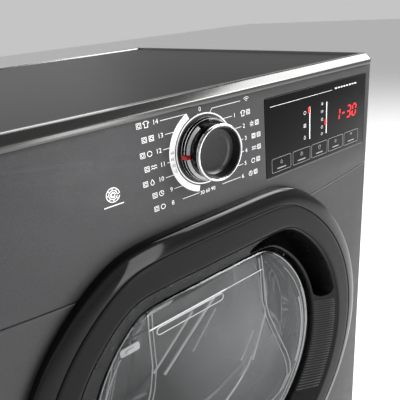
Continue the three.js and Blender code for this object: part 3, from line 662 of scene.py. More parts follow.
def icon(form, kind, x, z, width=0.55, size=1.0, low=PRINT_LOW, high=PRINT_HIGH):
    for path in ICONS[kind]:
        moved = [(x + size * u, z + size * v) for u, v in path]
        form.ribbon(moved, width, front, low, high)


def fascia_print():
    marks = Form()

    def line(path, width=0.6, closed=False):
        marks.ribbon(path, width, front, PRINT_LOW, PRINT_HIGH, closed)

    def label(number, kind, x, z, side):
        """A programme's number, its picture, and the thin line that joins it to the dial."""
        marks.text(str(number), 6.8, x, z, front, PRINT_TEXT, "RIGHT" if side < 0 else "LEFT")
        icon(marks, kind, x + side * 14, z, width=0.7)
        icon(marks, "square", x + side * 22, z, width=0.6)

    line(arc(37.2, 0, 357, 120, 0, KNOB_Z), 1.4, True)
    line(arc(42.6, 116, 254, 90, 0, KNOB_Z), 6.8)
    left = (("shirt", -22, -52), ("square", -38, -48), ("ring", -44, -52), ("wave", -45, -49),
            ("drop", -41, -53), ("clock", -32, -44), ("loop", -13, -35))
    for row, (kind, near, far) in enumerate(left):
        z = ROW_TOP - ROW_STEP * row
        line([(near, z), (far, z)], 0.55)
        label(14 - row, kind, min(far - 2, -46), z, -1)
    right = (("shirt", 24, 40), ("sun", 38, 53), ("square", 41, 55), ("wave", 39, 55), ("ring", 34, 53),
             ("clock", 20, 48))
    for row, (kind, near, far) in enumerate(right):
        z = ROW_TOP - ROW_STEP * (row + 1)
        line([(near, z), (far, z)], 0.55)
        label(row + 1, kind, far + 2, z, 1)
    line([(-6, 827), (-6, 825.4), (10, 825.4), (13, 829), (53, 829)], 0.55)
    icon(marks, "link", 62, 826.6, size=1.3)
    marks.text("0", 6.6, -3, 831, front, PRINT_TEXT)
    marks.text("30 60 90", 6.0, -1, 742, front, PRINT_TEXT)
    for kind, size in (("sun", 1.9), ("ring", 2.7), ("ring", 1.7), ("ring", 0.7)):
        icon(marks, kind, -113, 772.5, size=size, width=0.9)
    line([(-124, 762), (-103, 762)], 1.1)
    # The glow of the white print on the fascia is painted brightness; the print itself gives no light.
    piece("fascia_marks", marks, "cabinet", "print")

    ticks = Form()
    for i in range(4):
        angle = radians(172 + 9 * i)
        x = 42.5 * cos(angle)
        z = KNOB_Z + 42.5 * sin(angle)
        ticks.text(str((60, 45, 30, 15)[i]), 4.4, x, z, front, -0.12)
    piece("dial_numbers", ticks, "cabinet", "black")


# ---- display

SEGMENTS = {
    "0": "abcdef",
    "1": "bc",
    "3": "abgcd",
    "-": "g",
}


def digit(form, sign, x, z, height):
    """Slanted seven-segment character."""
    w = height * 0.5
    h = height
    ends = {
        "a": ((0, h), (w, h)),
        "b": ((w, h), (w, h / 2)),
        "c": ((w, h / 2), (w, 0)),
        "d": ((0, 0), (w, 0)),
        "e": ((0, h / 2), (0, 0)),
        "f": ((0, h), (0, h / 2)),
        "g": ((0, h / 2), (w, h / 2)),
    }
    for key in SEGMENTS[sign]:
        (u0, v0), (u1, v1) = ends[key]
        a = Vector((x + u0 + 0.12 * v0, z + v0))
        b = Vector((x + u1 + 0.12 * v1, z + v1))
        step = (b - a).normalized() * height * 0.07
        form.ribbon([tuple(a + step), tuple(b - step)], height * 0.13, front, -0.02, 0.06)


def display():
    lens = Form()
    lens.plate(rounded(*DISPLAY, 2.2), [], front, 0.1, 4.0, 0.5)
    piece("display_lens", lens, "cabinet", "lens", ["display_window"])

    white = Form()
    low, high = -0.02, 0.06
    white.ribbon([(99, 813), (214, 813)], 0.5, front, low, high)
    for i in range(8):
        white.ribbon([(220 + 6 * i, 814), (224 + 6 * i, 814)], 1.6, front, low, high)
    for x in (170, 203.5):
        white.ribbon([(x, 759), (x, 800)], 1.6, front, low, high)
    for z, kind in ((794, "ring"), (778, "square"), (763, "drop")):
        icon(white, kind, 160.5, z, width=0.45, size=0.8, low=low, high=high)
    for z, kind in ((799, "sun"), (789, "wave"), (779, "clock"), (769, "ring"), (760, "loop")):
        icon(white, kind, 194.5, z, width=0.4, size=0.65, low=low, high=high)
    piece("display_print", white, "cabinet", "print")

    keys = Form()
    edges = ((100, 134), (138, 171), (174, 206), (209, 240), (243, 275))
    for (x0, x1), kind in zip(edges, ("drop", "clock", "shirt", "sun", "link")):
        keys.ribbon(rounded(x0, x1, 732, 749.5, 1.6, 4), 0.5, front, low, high, closed=True)
        icon(keys, kind, (x0 + x1) / 2, 743.5, size=0.8, low=low, high=high)
        keys.ribbon([(x0 + 9, 736), (x1 - 9, 736)], 1.4, front, low, high)
    piece("touch_keys", keys, "cabinet", "soft_print")

    red = Form()
    for i, sign in enumerate("1-30"):
        digit(red, sign, 223 + 12 * i, 771, 15)
    for x, z in ((168.5, 796), (202.0, 774)):
        red.ribbon([(x, z - 3.6), (x, z + 3.6)], 3.4, front, low - 0.02, high)
    piece("display_digits", red, "cabinet", "red_light")


# ---- selector knob


def knob():
    centre = (0.0, KNOB_Z)
    skirt = Form()
    skirt.lathe(
        [(20, -1.2), (33.4, -1.2), (34, -1.8), (34, -3.6), (33.6, -4.6), (32.6, -6.4), (31.9, -8.2),
         (31.2, -8.7), (20, -8.7)],
        centre, sides=144)
    piece("knob_base", skirt, "selector_knob", "piano", ["knob_skirt"])
    for number, (radius, y) in enumerate(((34.0, -3.4), (32.7, -6.5))):
        rim = Form()
        rim.lathe([(radius - 0.5, y - 0.5), (radius - 0.1, y - 0.55), (radius + 0.02, y),
                   (radius - 0.1, y + 0.4), (radius - 0.5, y + 0.4)], centre, sides=144)
        piece(f"knob_line_{number + 1}", rim, "selector_knob", "chrome")

    band = Form()
    stations = [(31.5, -8.75), (31.5, -9.1), (31.2, -9.4), (28.9, -10.7), (28.4, -10.8), (28.3, -8.75)]
    angles = [radians(116 + 158 * i / 90) for i in range(91)]
    loops = [[at(r * cos(a), y, KNOB_Z + r * sin(a)) for a in angles] for r, y in stations]
    rings = band.loft(loops, wrap=True, closed=False)
    band.face([ring[0] for ring in rings])
    band.face([ring[-1] for ring in rings])
    piece("knob_band", band, "selector_knob", "silver")

    mark = Form()
    outline = rounded(-34.0, -27.9, KNOB_Z - 2.2, KNOB_Z + 2.2, 0.5, 3)
    mark.plate(outline, [], front, -11.2, -3.0, 0.4)
    piece("knob_mark", mark, "selector_knob", "red", ["knob_pointer"])

    grip = Form()
    facets = 15
    loops = []
    for radius, y, ripple in ((28.1, -8.72, 0.3), (28.0, -10.6, 0.7), (27.6, -21.4, 0.7),
                              (27.0, -22.3, 0.0), (25.3, -22.3, 0.0), (25.3, -12.0, 0.0), (20.0, -11.0, 0.0)):
        loop = []
        for a in turn(facets * 8):
            phase = (a * facets / (2 * pi)) % 1
            dip = ripple * (1 - abs(2 * phase - 1) ** 6)
            reach = radius - ripple + dip
            loop.append(at(reach * cos(a), y, KNOB_Z + reach * sin(a)))
        loops.append(loop)
    grip.closed_loft(loops)
    piece("knob_body", grip, "selector_knob", "piano", ["knob_grip"])

    face = Form()
    face.lathe(
        [(0.4, -14.3), (9, -14.4), (17, -14.8), (22.2, -15.4), (23.8, -16.6), (24.9, -21.2), (26.0, -24.8),
         (26.4, -25.1), (26.85, -24.9), (26.85, -22.35), (23.4, -13.0), (0.4, -13.0)],
        centre, sides=144, wrap=False)
    piece("knob_face", face, "selector_knob", "knob_face")

    ring = Form()
    ring.lathe(
        [(27.0, -22.35), (29.3, -22.35), (29.7, -22.8), (29.8, -23.8), (29.6, -25.0), (29.0, -25.7),
         (28.3, -25.97), (27.8, -25.9), (27.3, -25.5), (27.0, -24.9)],
        centre, sides=144)
    piece("knob_trim", ring, "selector_knob", "chrome", ["knob_ring"])


# ---- door


def door_rings(form, stations, wrap=True, sides=288):
    """Rings round the door's axis through (radius, flat top, depth) stations."""
    loops = [[door_point(r, f, a, y) for a in turn(sides // FINE)] for r, f, y in stations]
    if wrap:
        form.loft(loops, wrap=True)
    else:
        form.closed_loft(loops)


def door_trim():
    bezel = Form()
    door_rings(
        bezel,
        [
            (268, 244, -1.2), (268, 244, -9.2), (267.7, 243.7, -10.2), (266.8, 242.8, -11.2),
            (264.5, 240.5, -12.3), (259, 235, -14.2), (252, 227.8, -15.6), (249.4, 224.9, -15.8),
            (248.5, 224.0, -15.3), (248.3, 223.8, -14.2), (248.3, 223.8, -1.2),
        ],
    )
    piece("door_edge", bezel, "door", "piano", ["door_bezel"])

    ring = Form()
    door_rings(
        ring,
        [
            (247.8, 223.3, -1.2), (247.8, 223.3, -14.0), (247.4, 222.9, -15.2), (246.2, 221.7, -15.95),
            (243, 218, -16), (226, 195.5, -16), (222.6, 191.6, -15.8), (221.4, 190.4, -15.0),
            (221.0, 190.0, -13.8), (221.0, 190.0, -1.2),
        ],
    )
    piece("door_face_ring", ring, "door", "door_ring", ["door_frame"])


DISH_OUTER = (220.5, 189.5, -15.2)  # radius, flat top and depth of the dish's outer edge
DISH_INNER = (187.4, 160.4, 5.8)
POCKET_FROM = 10.0  # angles in degrees between which the handle pocket lies
POCKET_TO = 72.0
POCKET_END = 4.2  # degrees over which each end of it is rounded
POCKET_DEPTH = 44.0
POCKET_HALF = 0.42  # half its width, as a share of the dish's slope
POCKET_TAPER = 0.12 * 60  # how far its floor leans in towards the window


def pocket_cap(degrees):
    """Share of the pocket's full half width at an angle, round at both ends and 0 outside."""
    inside = min(degrees - POCKET_FROM, POCKET_TO - degrees)
    if inside <= 0:
        return 0.0
    if inside >= POCKET_END:
        return 1.0
    return sqrt(1 - (1 - inside / POCKET_END) ** 2)


def door_dish():
    """Sloping dish with the deep handle pocket moulded into its upper right."""
    degrees = [i * 1.25 * FINE for i in range(int(288 / FINE))]
    for edge in (POCKET_FROM, POCKET_TO):
        degrees += [edge - 1.0 + 0.22 * i for i in range(28)]
    degrees = sorted(set(round(d, 3) for d in degrees))
    form = Form()
    loops = []

    def slope(share):
        return tuple(o + (i - o) * share for o, i in zip(DISH_OUTER, DISH_INNER))

    lip = ((1.0, 0.0), (0.975, 0.03), (0.95, 0.16), (0.9, 0.6), (0.84, 0.92), (0.7, 1.0), (0.35, 1.02))
    across = [(0.5 - POCKET_HALF * k, depth) for k, depth in lip] + [(0.5, 1.03)]
    across += [(0.5 + POCKET_HALF * k, depth) for k, depth in reversed(lip)]
    for share, depth in [(0.0, 0.0), (0.03, 0.0)] + across + [(0.97, 0.0), (1.0, 0.0)]:
        loop = []
        for d in degrees:
            cap = pocket_cap(d)
            reach = max(cap, 0.3)
            moved = 0.5 + (share - 0.5) * (reach if 0.05 < share < 0.95 else 1.0)
            radius, flat, y = slope(moved)
            deep = depth * max(0.0, min(1.0, (cap - 0.3) / 0.35))
            pull = POCKET_TAPER * deep
            loop.append(door_point(radius - pull, flat - pull, radians(d), y + POCKET_DEPTH * deep))
        loops.append(loop)
    for r, f, y in (
        (187.0, 160.0, 6.6),
        (187.0, 160.0, LINER_BACK - 3.4),
        (189.6, 162.6, LINER_BACK - 3.4),
        (189.6, 162.6, 56.0),
    ):
        loops.append([door_point(r, f, radians(d), y) for d in degrees])
    form.loft(loops)
    piece("dish_moulding", form, "door", "dish", ["door_dish"], angle=40)


RIBS_INNER = 189.6
RIBS_OUTER = 216.5
RIBS_LOW = 350.0
RIBS_STEP = 4.2


def grip_ribs():
    """Fine level ribs on the dish below the handle pocket."""
    form = Form()
    for side, z in ((1, 500.0), (-1, 560.0)):
        while z > RIBS_LOW:
            rise = z - DOOR_Z
            near = sqrt(RIBS_INNER**2 - rise**2)
            far = sqrt(RIBS_OUTER**2 - rise**2)
            loops = []
            for i in range(7):
                x = near + (far - near) * i / 6
                reach = hypot(x, rise)
                share = (DISH_OUTER[0] - reach) / (DISH_OUTER[0] - DISH_INNER[0])
                y = DISH_OUTER[2] + (DISH_INNER[2] - DISH_OUTER[2]) * share
                lift = 0.75 if 0 < i < 6 else 0.1
                section = [(y + 0.5, -1.3), (y - lift * 0.6, -0.9), (y - lift, 0.0), (y - lift * 0.6, 0.9),
                           (y + 0.5, 1.3)]
                loops.append([at(side * x, depth, z + dz) for depth, dz in section])
            form.closed_loft(loops)
            z -= RIBS_STEP
    piece("grip_ribs", form, "door", "grip_ribs")


def door_inside():
    liner = Form()
    door_rings(
        liner,
        [
            (233, 217, -0.8), (230, 214.2, 24), (226.4, 210.4, 56), (225, 209, 60.8), (222, 206.4, 62),
            (160, 160, 62), (153, 153, 62), (152, 152, 61.4), (152, 152, 59.4), (220, 204.5, 59),
            (223.6, 207.6, 55), (230, 214, -0.8),
        ],
    )
    piece("door_inner_shell", liner, "door", "liner", ["door_liner"])

    bowl = Form()
    bowl.lathe(
        [(0.5, 115), (30, 114.8), (60, 114), (90, 112), (108, 109), (120, 105.4), (129, 100.6), (134, 95.4),
         (148, 68), (151, 65.6), (155, 65.4), (169, 65.4), (170, 64.8), (170, 63), (169, 62.5), (150, 62.5),
         (146.6, 63.4), (143, 69), (130.6, 93.6), (126, 98), (119, 101.8), (107, 105.4), (89, 108.5),
         (60, 110.4), (30, 111.3), (0.5, 111.5)],
        (0, DOOR_Z), sides=160)
    piece("door_glass_bowl", bowl, "door", "bowl", ["door_bowl"], angle=60)


VESSEL_WALL = (14.0, 50.0)  # depths between which the moulded walls stand
# depths of the glowing lines painted as highlights along the walls' edges and along the front crease
VESSEL_EDGE = (12.4, 13.6)
VESSEL_CREASE = (7.0, 7.9)


def vessel():
    """Clear water container: a thin shell with moulded walls, and glowing lines painted as highlights and
    reflections along its wall edges, a front crease, round a pouring slot and on its thick rim.
    """
    form = Form()
    outer = [
        (0.5, 0.5, 8.0), (120, 100, 8.0), (172, 145, 8.0), (177, 150, 8.3), (180.6, 153.4, 9.6),
        (182.5, 155.5, 12.0), (183, 156, 15.0), (183, 156, 54.5), (182.5, 155.5, 55.6), (181, 154, 56.0),
        (0.5, 0.5, 56.0),
    ]
    inner = [
        (0.5, 0.5, 10.6), (172, 145, 10.6), (177.5, 150.5, 11.6), (180.2, 153.2, 14.6),
        (180.4, 153.4, 18), (180.4, 153.4, 53.4), (0.5, 0.5, 53.4),
    ]
    door_rings(form, outer, wrap=False, sides=240)
    door_rings(form, inner, wrap=False, sides=240)
    piece("water_vessel", form, "water_container", "shell", ["water_container"], angle=50)

    walls = Form()
    profile = [(-89, 618), (-91, 596), (-93, 548), (-100, 518), (-110, 492), (-135, 432), (-142, 408),
               (-143, 388), (-124, 366), (-62, 346), (0, 340)]
    path = profile + [(-x, z) for x, z in reversed(profile[:-1])]
    walls.ribbon(path, 3.0, front, *VESSEL_WALL)
    walls.ribbon([(-136, 600), (-93, 600)], 2.6, front, *VESSEL_WALL)
    walls.ribbon([(93, 600), (136, 600)], 2.6, front, *VESSEL_WALL)
    door_rings(walls, [(179, 151.6, 12.5), (180, 152.6, 12.5), (180, 152.6, 30), (172, 144.6, 52),
                       (170, 142.6, 52), (174, 146.6, 30)], sides=240)
    piece("vessel_walls", walls, "water_container", "vessel", angle=60)

    # Painted highlights and reflections: glowing lines along the walls' edges, the front crease and the
    # slot's outline, arcs on the thick rim, and diagonal streaks across the front.
    edges = Form()
    edges.ribbon(path, 1.2, front, *VESSEL_EDGE)
    edges.ribbon([(x * 0.945, z - 2) for x, z in path], 0.8, front, *VESSEL_EDGE)
    edges.ribbon([(-93, 602), (20, 602)], 1.5, front, *VESSEL_CREASE)
    edges.ribbon([(20, 602), (84, 602)], 0.5, front, *VESSEL_CREASE)
    for radius, start, end, width in ((178.6, -62, 52, 0.9), (176.4, -30, 20, 0.5), (170.5, -50, 40, 0.7),
                                      (167.0, -24, 16, 2.2), (178.6, 128, 242, 0.9), (170.5, 140, 220, 0.7)):
        edges.ribbon(arc(radius, start, end, 60, 0, DOOR_Z), width, front, 10.9, 11.9)
    edges.ribbon(rounded(-84, 15, 590, 599.5, 4.2, 6), 0.5, front, *VESSEL_CREASE, closed=True)
    for (x0, z0), (x1, z1), width in (
        ((-92, 536), (-28, 590), 2.0),
        ((-78, 525), (7, 594), 3.0),
        ((-34, 533), (8, 576), 0.8),
        ((44, 470), (70, 507), 0.9),
        ((66, 458), (94, 522), 2.2),
    ):
        edges.ribbon([(x0, z0), (x1, z1)], width, front, 14.2, 16.0)
    piece("vessel_painted_highlights", edges, "water_container", "painted_highlight")

    # Painted reflection: a light clip-shaped block that stands in for the bright reflection at the vessel's
    # left end.
    reflection_block = Form()
    reflection_block.plate(rounded(-133, -108, 588, 598, 3.0), [], front, 5.6, 7.9, 0.8)
    reflection_block.plate(rounded(-126, -114, 590.5, 595, 1.8), [], front, 4.4, 6.0, 0.6)
    piece("vessel_reflection_block", reflection_block, "water_container", "white")

    sheet = Form()
    sheet.plate(rounded(-84, 88, 531, 598, 6.0), [], front, 34.0, 36.0, 0.6)
    piece("vessel_baffle", sheet, "water_container", "frosted")

    middle = Form()
    middle.plate([(x * 0.972, z - 4) for x, z in path], [], front, 21.0, 22.2, 0.3)
    piece("vessel_inner_wall", middle, "water_container", "mist")


# ---- hinge


def hinge():
    x, y, low, high = -274.0, -6.0, 430.0, 516.0
    leaf = Form()
    for z0, z1 in ((low, low + 27), (high - 27, high)):
        knuckle = [(3.0, z0), (5.1, z0), (5.5, z0 + 0.5), (5.5, z1 - 0.5), (5.1, z1), (3.0, z1)]
        leaf.lathe(knuckle, (x, y), "z", 48)
    leaf.plate(rounded(-268.3, -258.5, low, high, 2.0), [], front, -8.6, -3.4, 0.6)
    piece("hinge_door_leaf", leaf, "door", "steel", ["hinge_leaf"])
    bracket = Form()
    bracket.lathe(
        [(3.0, low + 28.4), (5.1, low + 28.4), (5.5, low + 29), (5.5, high - 29), (5.1, high - 28.4),
         (3.0, high - 28.4)],
        (x, y), "z", 48)
    bracket.plate(rounded(-293, -281, low, high, 3.0), [], front, -2.4, -0.4, 0.6)
    bracket.plate(rounded(-283, -276, low + 28.4, high - 28.4, 1.0), [], front, -4.3, -0.6, 0.5)
    for z in (low + 10, high - 10):
        head = [(0.3, -3.4), (2.6, -3.2), (3.2, -2.7), (3.2, -2.2), (0.3, -2.2)]
        bracket.lathe(head, (-287.5, z), sides=32, wrap=False)
    piece("hinge_cabinet_bracket", bracket, "cabinet", "chrome", ["hinge_bracket"])


# ---- drum


DRUM_FRONT = 98
DRUM_LENGTH = 388
DRUM_RADIUS = 275.4
BEADS = (140, 185, 255, 325, 395, 440)  # depths of the beads rolled into the drum's wall
BEAD_HEIGHT = 3.2
BEAD_REACH = 5.5
PADDLE_FRONT = 124.5
PADDLE_LENGTH = 343
PADDLE_CREST = 45.2
PADDLE_END = 12  # height of its two ends
PADDLE_HALF = 38
PADDLE_SEAT = -271.6


def drum():
    shell = Form()
    wall = []
    for i in range(61):
        y = DRUM_FRONT + DRUM_LENGTH * i / 60
        bead = sum(BEAD_HEIGHT * exp(-(((y - centre) / BEAD_REACH) ** 2)) for centre in BEADS)
        wall.append((DRUM_RADIUS - bead, y))
    floor = [(270, 491.0), (250, 491.6)]
    for i in range(48):
        r = 240 - 4.9 * i
        floor.append((r, 491.4 - 3.4 * max(0.0, sin(r / 240 * pi * 7)) ** 2))
    profile = [(262, 96.4), (262, 98)] + wall + [(274.5, 488.5)] + floor
    outside = [(277.9, 493.4), (278, 492), (278, 98), (277.4, 96.4)]
    loops = profile + [(4, 494), (270, 494)] + outside
    shell.lathe(loops, (0, DOOR_Z), sides=192)
    piece("drum_steelwork", shell, "drum", "drum", ["drum_shell"], angle=24)

    for i in range(3):
        paddle = Form()
        turned = Matrix.Rotation(radians(120 * i + 60), 4, "Y")
        loops = []
        for k in range(25):
            share = k / 24
            y = PADDLE_FRONT + PADDLE_LENGTH * share
            end = min(share, 1 - share) * PADDLE_LENGTH
            rise = 1 - max(0.0, 1 - end / 40) ** 2.2
            crest = PADDLE_END + (PADDLE_CREST - PADDLE_END) * rise
            loop = []
            for j in range(17):
                t = -1 + 2 * j / 16
                height = crest * (cos(t * pi / 2) ** 0.75 if abs(t) < 1 else 0.0)
                loop.append((PADDLE_HALF * t, PADDLE_SEAT + height))
            base = [(PADDLE_HALF, -271.9), (-PADDLE_HALF, -271.9)]
            ring = []
            for u, v in loop + base:
                p = turned @ Vector((u * MM, 0, v * MM))
                ring.append(p + at(0, y, DOOR_Z))
            loops.append(ring)
        paddle.closed_loft(loops)
        name = f"drum_paddle_{i + 1}"
        piece(f"lifter_{i + 1}", paddle, "drum", "grey", [name], angle=50)


# ---- cabinet sides, back and inside


def side_panels():
    for name, side in (("left_side_panel", -1), ("right_side_panel", 1)):
        form = Form()

        def place(u, v, depth, side=side):
            return at(side * (HALF - depth), u if side > 0 else -u, v)

        y0, y1 = 30.7, 572.0
        outline = rounded(y0, y1, BASE_LOW, PANEL_TOP, 2.0)
        pressed = rounded(y0 + 46, y1 - 46, 110, 770, 30, 8)
        if side < 0:
            outline = [(-u, v) for u, v in reversed(outline)]
            pressed = [(-u, v) for u, v in reversed(pressed)]
        edge = edge_round(2.0)
        stations = edge + [(0.0, 8.6), (0.3, 9.0), (1.6, 9.0), (1.6, 1.6)]
        rings = form.loft([[place(u, v, d) for u, v in inset(outline, a)] for a, d in stations])
        dent = [(0.0, 0.0), (0.8, 0.12), (4.0, 1.1), (7.2, 2.08), (8.0, 2.2)]
        inner = form.loft([[place(u, v, d) for u, v in inset(pressed, a)] for a, d in dent])
        back = form.loft([[place(u, v, d + 1.6) for u, v in inset(pressed, a)] for a, d in dent])
        form.fill([rings[0], inner[0]])
        form.fill([inner[-1]])
        form.fill([rings[-1], back[0]])
        form.fill([back[-1]])
        piece(f"{name}_sheet", form, "cabinet", "steel_paint", [name])


def screw(form, x, y, z, radius=4.0):
    """Flanged hexagon screw head that faces the back."""
    flange = [(0.3, y), (radius, y), (radius, y + 0.7), (radius * 0.96, y + 0.9), (0.3, y + 0.9)]
    form.lathe(flange, (x, z), sides=32, wrap=False)
    loops = []
    for reach, depth in ((0.62, 0.8), (0.62, 2.9), (0.55, 3.3)):
        loops.append([at(x + radius * reach * cos(a), y + depth, z + radius * reach * sin(a))
                      for a in turn(6)])
    form.closed_loft(loops)


def back():
    def rear(u, v, depth):
        return at(-u, BACK_FACE - depth, v)

    form = Form()
    slots = [rounded(-60, 60, 96 + 16 * i, 102 + 16 * i, 2.8, 5) for i in range(6)]
    outline = rounded(-HALF + 1, HALF - 1, BASE_LOW, PANEL_TOP, 3.0)
    form.plate(outline, slots, rear, 0.0, 1.6, 0.6)
    piece("back_sheet", form, "cabinet", "zinc", ["back_panel"])

    beads = Form()
    for x in (-250, 250):
        loops = []
        for i in range(31):
            z = 220 + 520 * i / 30
            rise = 1.6 * min(1.0, min(i, 30 - i) / 2.0)
            section = [(-9, -0.1), (-6, 0.35 * rise), (-3, 0.85 * rise), (0, rise), (3, 0.85 * rise),
                       (6, 0.35 * rise), (9, -0.1)]
            loops.append([at(x + u, BACK_FACE + d, z) for u, d in section])
        beads.closed_loft(loops)
    for x in (-288, 288):
        for z in (60, 250, 440, 630, 815):
            screw(beads, x, BACK_FACE, z)
    for x in (-190, -95, 95, 190):
        for z in (36, 824):
            screw(beads, x, BACK_FACE, z)
    piece("back_beads_and_screws", beads, "cabinet", "zinc")

    cover = Form()
    low = BACK_FACE + 0.4
    profile = [(0.5, DEPTH)]
    for i in range(1, 40):
        r = 5 * i - 2
        profile.append((r, DEPTH - 2.2 * max(0.0, cos((r - 100) / 100 * pi * 3)) ** 6 * (r > 30)))
    profile += [(198, DEPTH - 0.6), (203, DEPTH - 3), (206, DEPTH - 6), (206.6, low + 2.2),
                (208, low + 1.6), (221.4, low + 1.6), (222, low + 1.2), (222, low), (204, low),
                (203.6, DEPTH - 7), (200, DEPTH - 4.4), (195, DEPTH - 4.0), (0.5, DEPTH - 4.0)]
    cover.lathe(profile, (0, DOOR_Z), sides=144, wrap=False)
    for i in range(12):
        a = radians(30 * i + 15)
        screw(cover, 214 * cos(a), low + 1.5, DOOR_Z + 214 * sin(a), 3.6)
    piece("duct_cover", cover, "cabinet", "zinc", ["rear_duct_cover"])

    gland = Form()
    flange = rounded(212, 248, 86, 122, 5.0)
    gland.plate(flange, [], lambda u, v, d: at(u, BACK_FACE + 3.4 - d, v), 0.0, 3.0, 0.8)
    gland.lathe([(4, BACK_FACE + 3.2), (9, BACK_FACE + 3.2), (9, DEPTH - 1.2), (8.2, DEPTH - 0.2),
                 (5, DEPTH - 0.2), (4, DEPTH - 1.2)], (230, 104), sides=48)
    piece("gland_moulding", gland, "cabinet", "black", ["cord_gland"])


def feet():
    for name, x, y in (
        ("foot_front_left", -270, 48),
        ("foot_front_right", 270, 48),
        ("foot_rear_left", -270, 540),
        ("foot_rear_right", 270, 540),
    ):
        form = Form()
        form.lathe(
            [(0.4, 0), (21, 0), (22.6, 0.5), (23.6, 1.6), (24, 3), (24, 6.6), (23.4, 7.8), (22, 8.6),
             (14, 12.2), (11, 13.4), (10.6, 15.6), (8, 16.2), (0.4, 16.2)],
            (x, y), "z", 64, wrap=False)
        hexagon = [(0.0, 16.2), (0.6, 16.0), (0.6, 20.4), (0.0, 20.9)]
        form.closed_loft([[at(x + (9 - k) * cos(a), y + (9 - k) * sin(a), z) for a in turn(6)]
                          for k, z in hexagon])
        thread = [(5.0 if i % 2 else 4.3, 21.0 + i) for i in range(37)]
        form.lathe([(0.4, 20.8)] + thread + [(0.4, 57.8)], (x, y), "z", 32, wrap=False)
        piece(f"{name}_pad", form, name, "rubber", [name], angle=40)


def bulkhead():
    form = Form()
    outline = rounded(-287, 287, 66, 800, 6.0)
    holes = [arc(190, 0, 357, 120, 0, DOOR_Z)]
    holes.append(rounded(202, 221, 461, 485, 2.0))
    for side in (-1, 1):
        holes.append(arc(4.6, 0, 345, 16, side * 157.07, 221.64))
    left, right = -265, -47
    notch = [(left, 66), (left, 178)] + arc(4, 180, 90, 4, left + 4, 178)
    notch += arc(4, 90, 0, 4, right - 4, 178) + [(right, 66)]
    outline = [p for p in outline if not (p[1] < 67 and p[0] < 0)]
    start = [(-287, 72), (-285, 68), (-281, 66)]
    outline = start + notch + outline
    form.plate(outline, holes, front, BULKHEAD, BULKHEAD + 3, 0.5)
    piece("bulkhead_sheet", form, "cabinet", "zinc", ["front_bulkhead"])

    funnel = Form()
    door_rings(
        funnel,
        [(240, 226, 67.8), (240, 226, 2.0), (240.5, 226.5, 0.9), (241.7, 227.7, 0.5), (243, 229, 0.9),
         (243.4, 229.4, 2.0), (243.4, 229.4, 67.8)],
    )
    door_rings(
        funnel,
        [(240.4, 226.4, 67.9), (190.8, 190.8, 67.9), (190.4, 190.4, 67.4), (191.0, 191.0, 67.2),
         (240.4, 226.4, 67.2)],
    )
    piece("door_recess", funnel, "cabinet", "black")

    seal = Form()
    low = LINER_BACK + 0.6
    seal.lathe([(192, low + 1.6), (192.8, low + 0.3), (196, low), (199.2, low + 0.3), (200, low + 1.6),
                (200, BULKHEAD - 1.0), (192, BULKHEAD - 1.0)], (0, DOOR_Z), sides=192)
    piece("seal_bead", seal, "cabinet", "rubber", ["door_seal"])


def coil(name, node, y0, y1):
    """Finned heat exchanger block: thin fins between end plates, with straight tubes running through them."""
    low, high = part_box(node)
    x0, x1 = low.x / MM, high.x / MM
    z0, z1 = low.z / MM, high.z / MM
    form = Form()
    count = 34 // FINE
    for i in range(count + 1):
        x = x0 + 8 + (x1 - x0 - 16) * i / count
        form.plate(rounded(y0 + 0.6, y1 - 0.6, z0 + 0.6, z1 - 0.6, 1.0, 3), [],
                   lambda u, v, d, x=x: at(x + d, u, v), 0.0, 0.9, 0.2)
    for side in (x0 + 3, x1 - 5):
        form.plate(rounded(y0 + 0.2, y1 - 0.2, z0 + 0.2, z1 - 0.2, 1.5, 3), [],
                   lambda u, v, d, x=side: at(x + d, u, v), 0.0, 1.6, 0.3)
    rows = 5
    for i in range(rows):
        z = z0 + (z1 - z0) * (i + 0.5) / rows
        for y in (y0 + (y1 - y0) * 0.3, y0 + (y1 - y0) * 0.7):
            form.tube([at(x0 + 0.8 + (x1 - x0 - 1.6) * k / 4, y, z) for k in range(5)], 4.0, 12)
    piece(name, form, "cabinet", "fins", [node])


CARRIED = {
    "black": ["base_tray", "selector_switch", "door_lock", "rear_bearing", "fan_wheel", "idler_wheel",
              "exchanger_housing", "filter_pocket"],
    "zinc": ["rear_bulkhead", "motor_stator", "idler_bracket"],
    "steel": ["door_hook", "hinge_pin", "drum_spindle", "motor_shaft", "idler_arm"],
    "rubber": ["drum_roller_left", "drum_roller_right", "drive_belt"],
    "pot": ["compressor"],
    "grey": ["exchanger_cover", "drain_pump", "lint_filter"],
    "red": ["cover_lever_left", "cover_lever_right"],
}


def carried_over():
    """CAD nodes whose own shape is kept, with softened edges and a finish."""
    for node, look in [(node, look) for look, nodes in CARRIED.items() for node in nodes]:
        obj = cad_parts[node]
        obj.data.materials.clear()
        obj.data.materials.append(LOOK[look])
        obj.data.shade_smooth()
        obj.data.set_sharp_from_angle(angle=radians(30))
        bevel = obj.modifiers.new("softened_edges", "BEVEL")
        bevel.width = 0.35 * MM
        bevel.segments = 2
        bevel.limit_method = "ANGLE"
        bevel.angle_limit = radians(50)


# ---- stage


def lamp(name, place, aim, size, power):
    light = bpy.data.lights.new(name, "AREA")
    light.shape = "RECTANGLE"
    light.size, light.size_y = size
    light.energy = power
    obj = bpy.data.objects.new(name, light)
    obj.location = place
    obj.rotation_mode = "QUATERNION"
    obj.rotation_quaternion = (Vector(aim) - Vector(place)).to_track_quat("-Z", "Y")
    obj.visible_camera = False
    bpy.context.scene.collection.objects.link(obj)


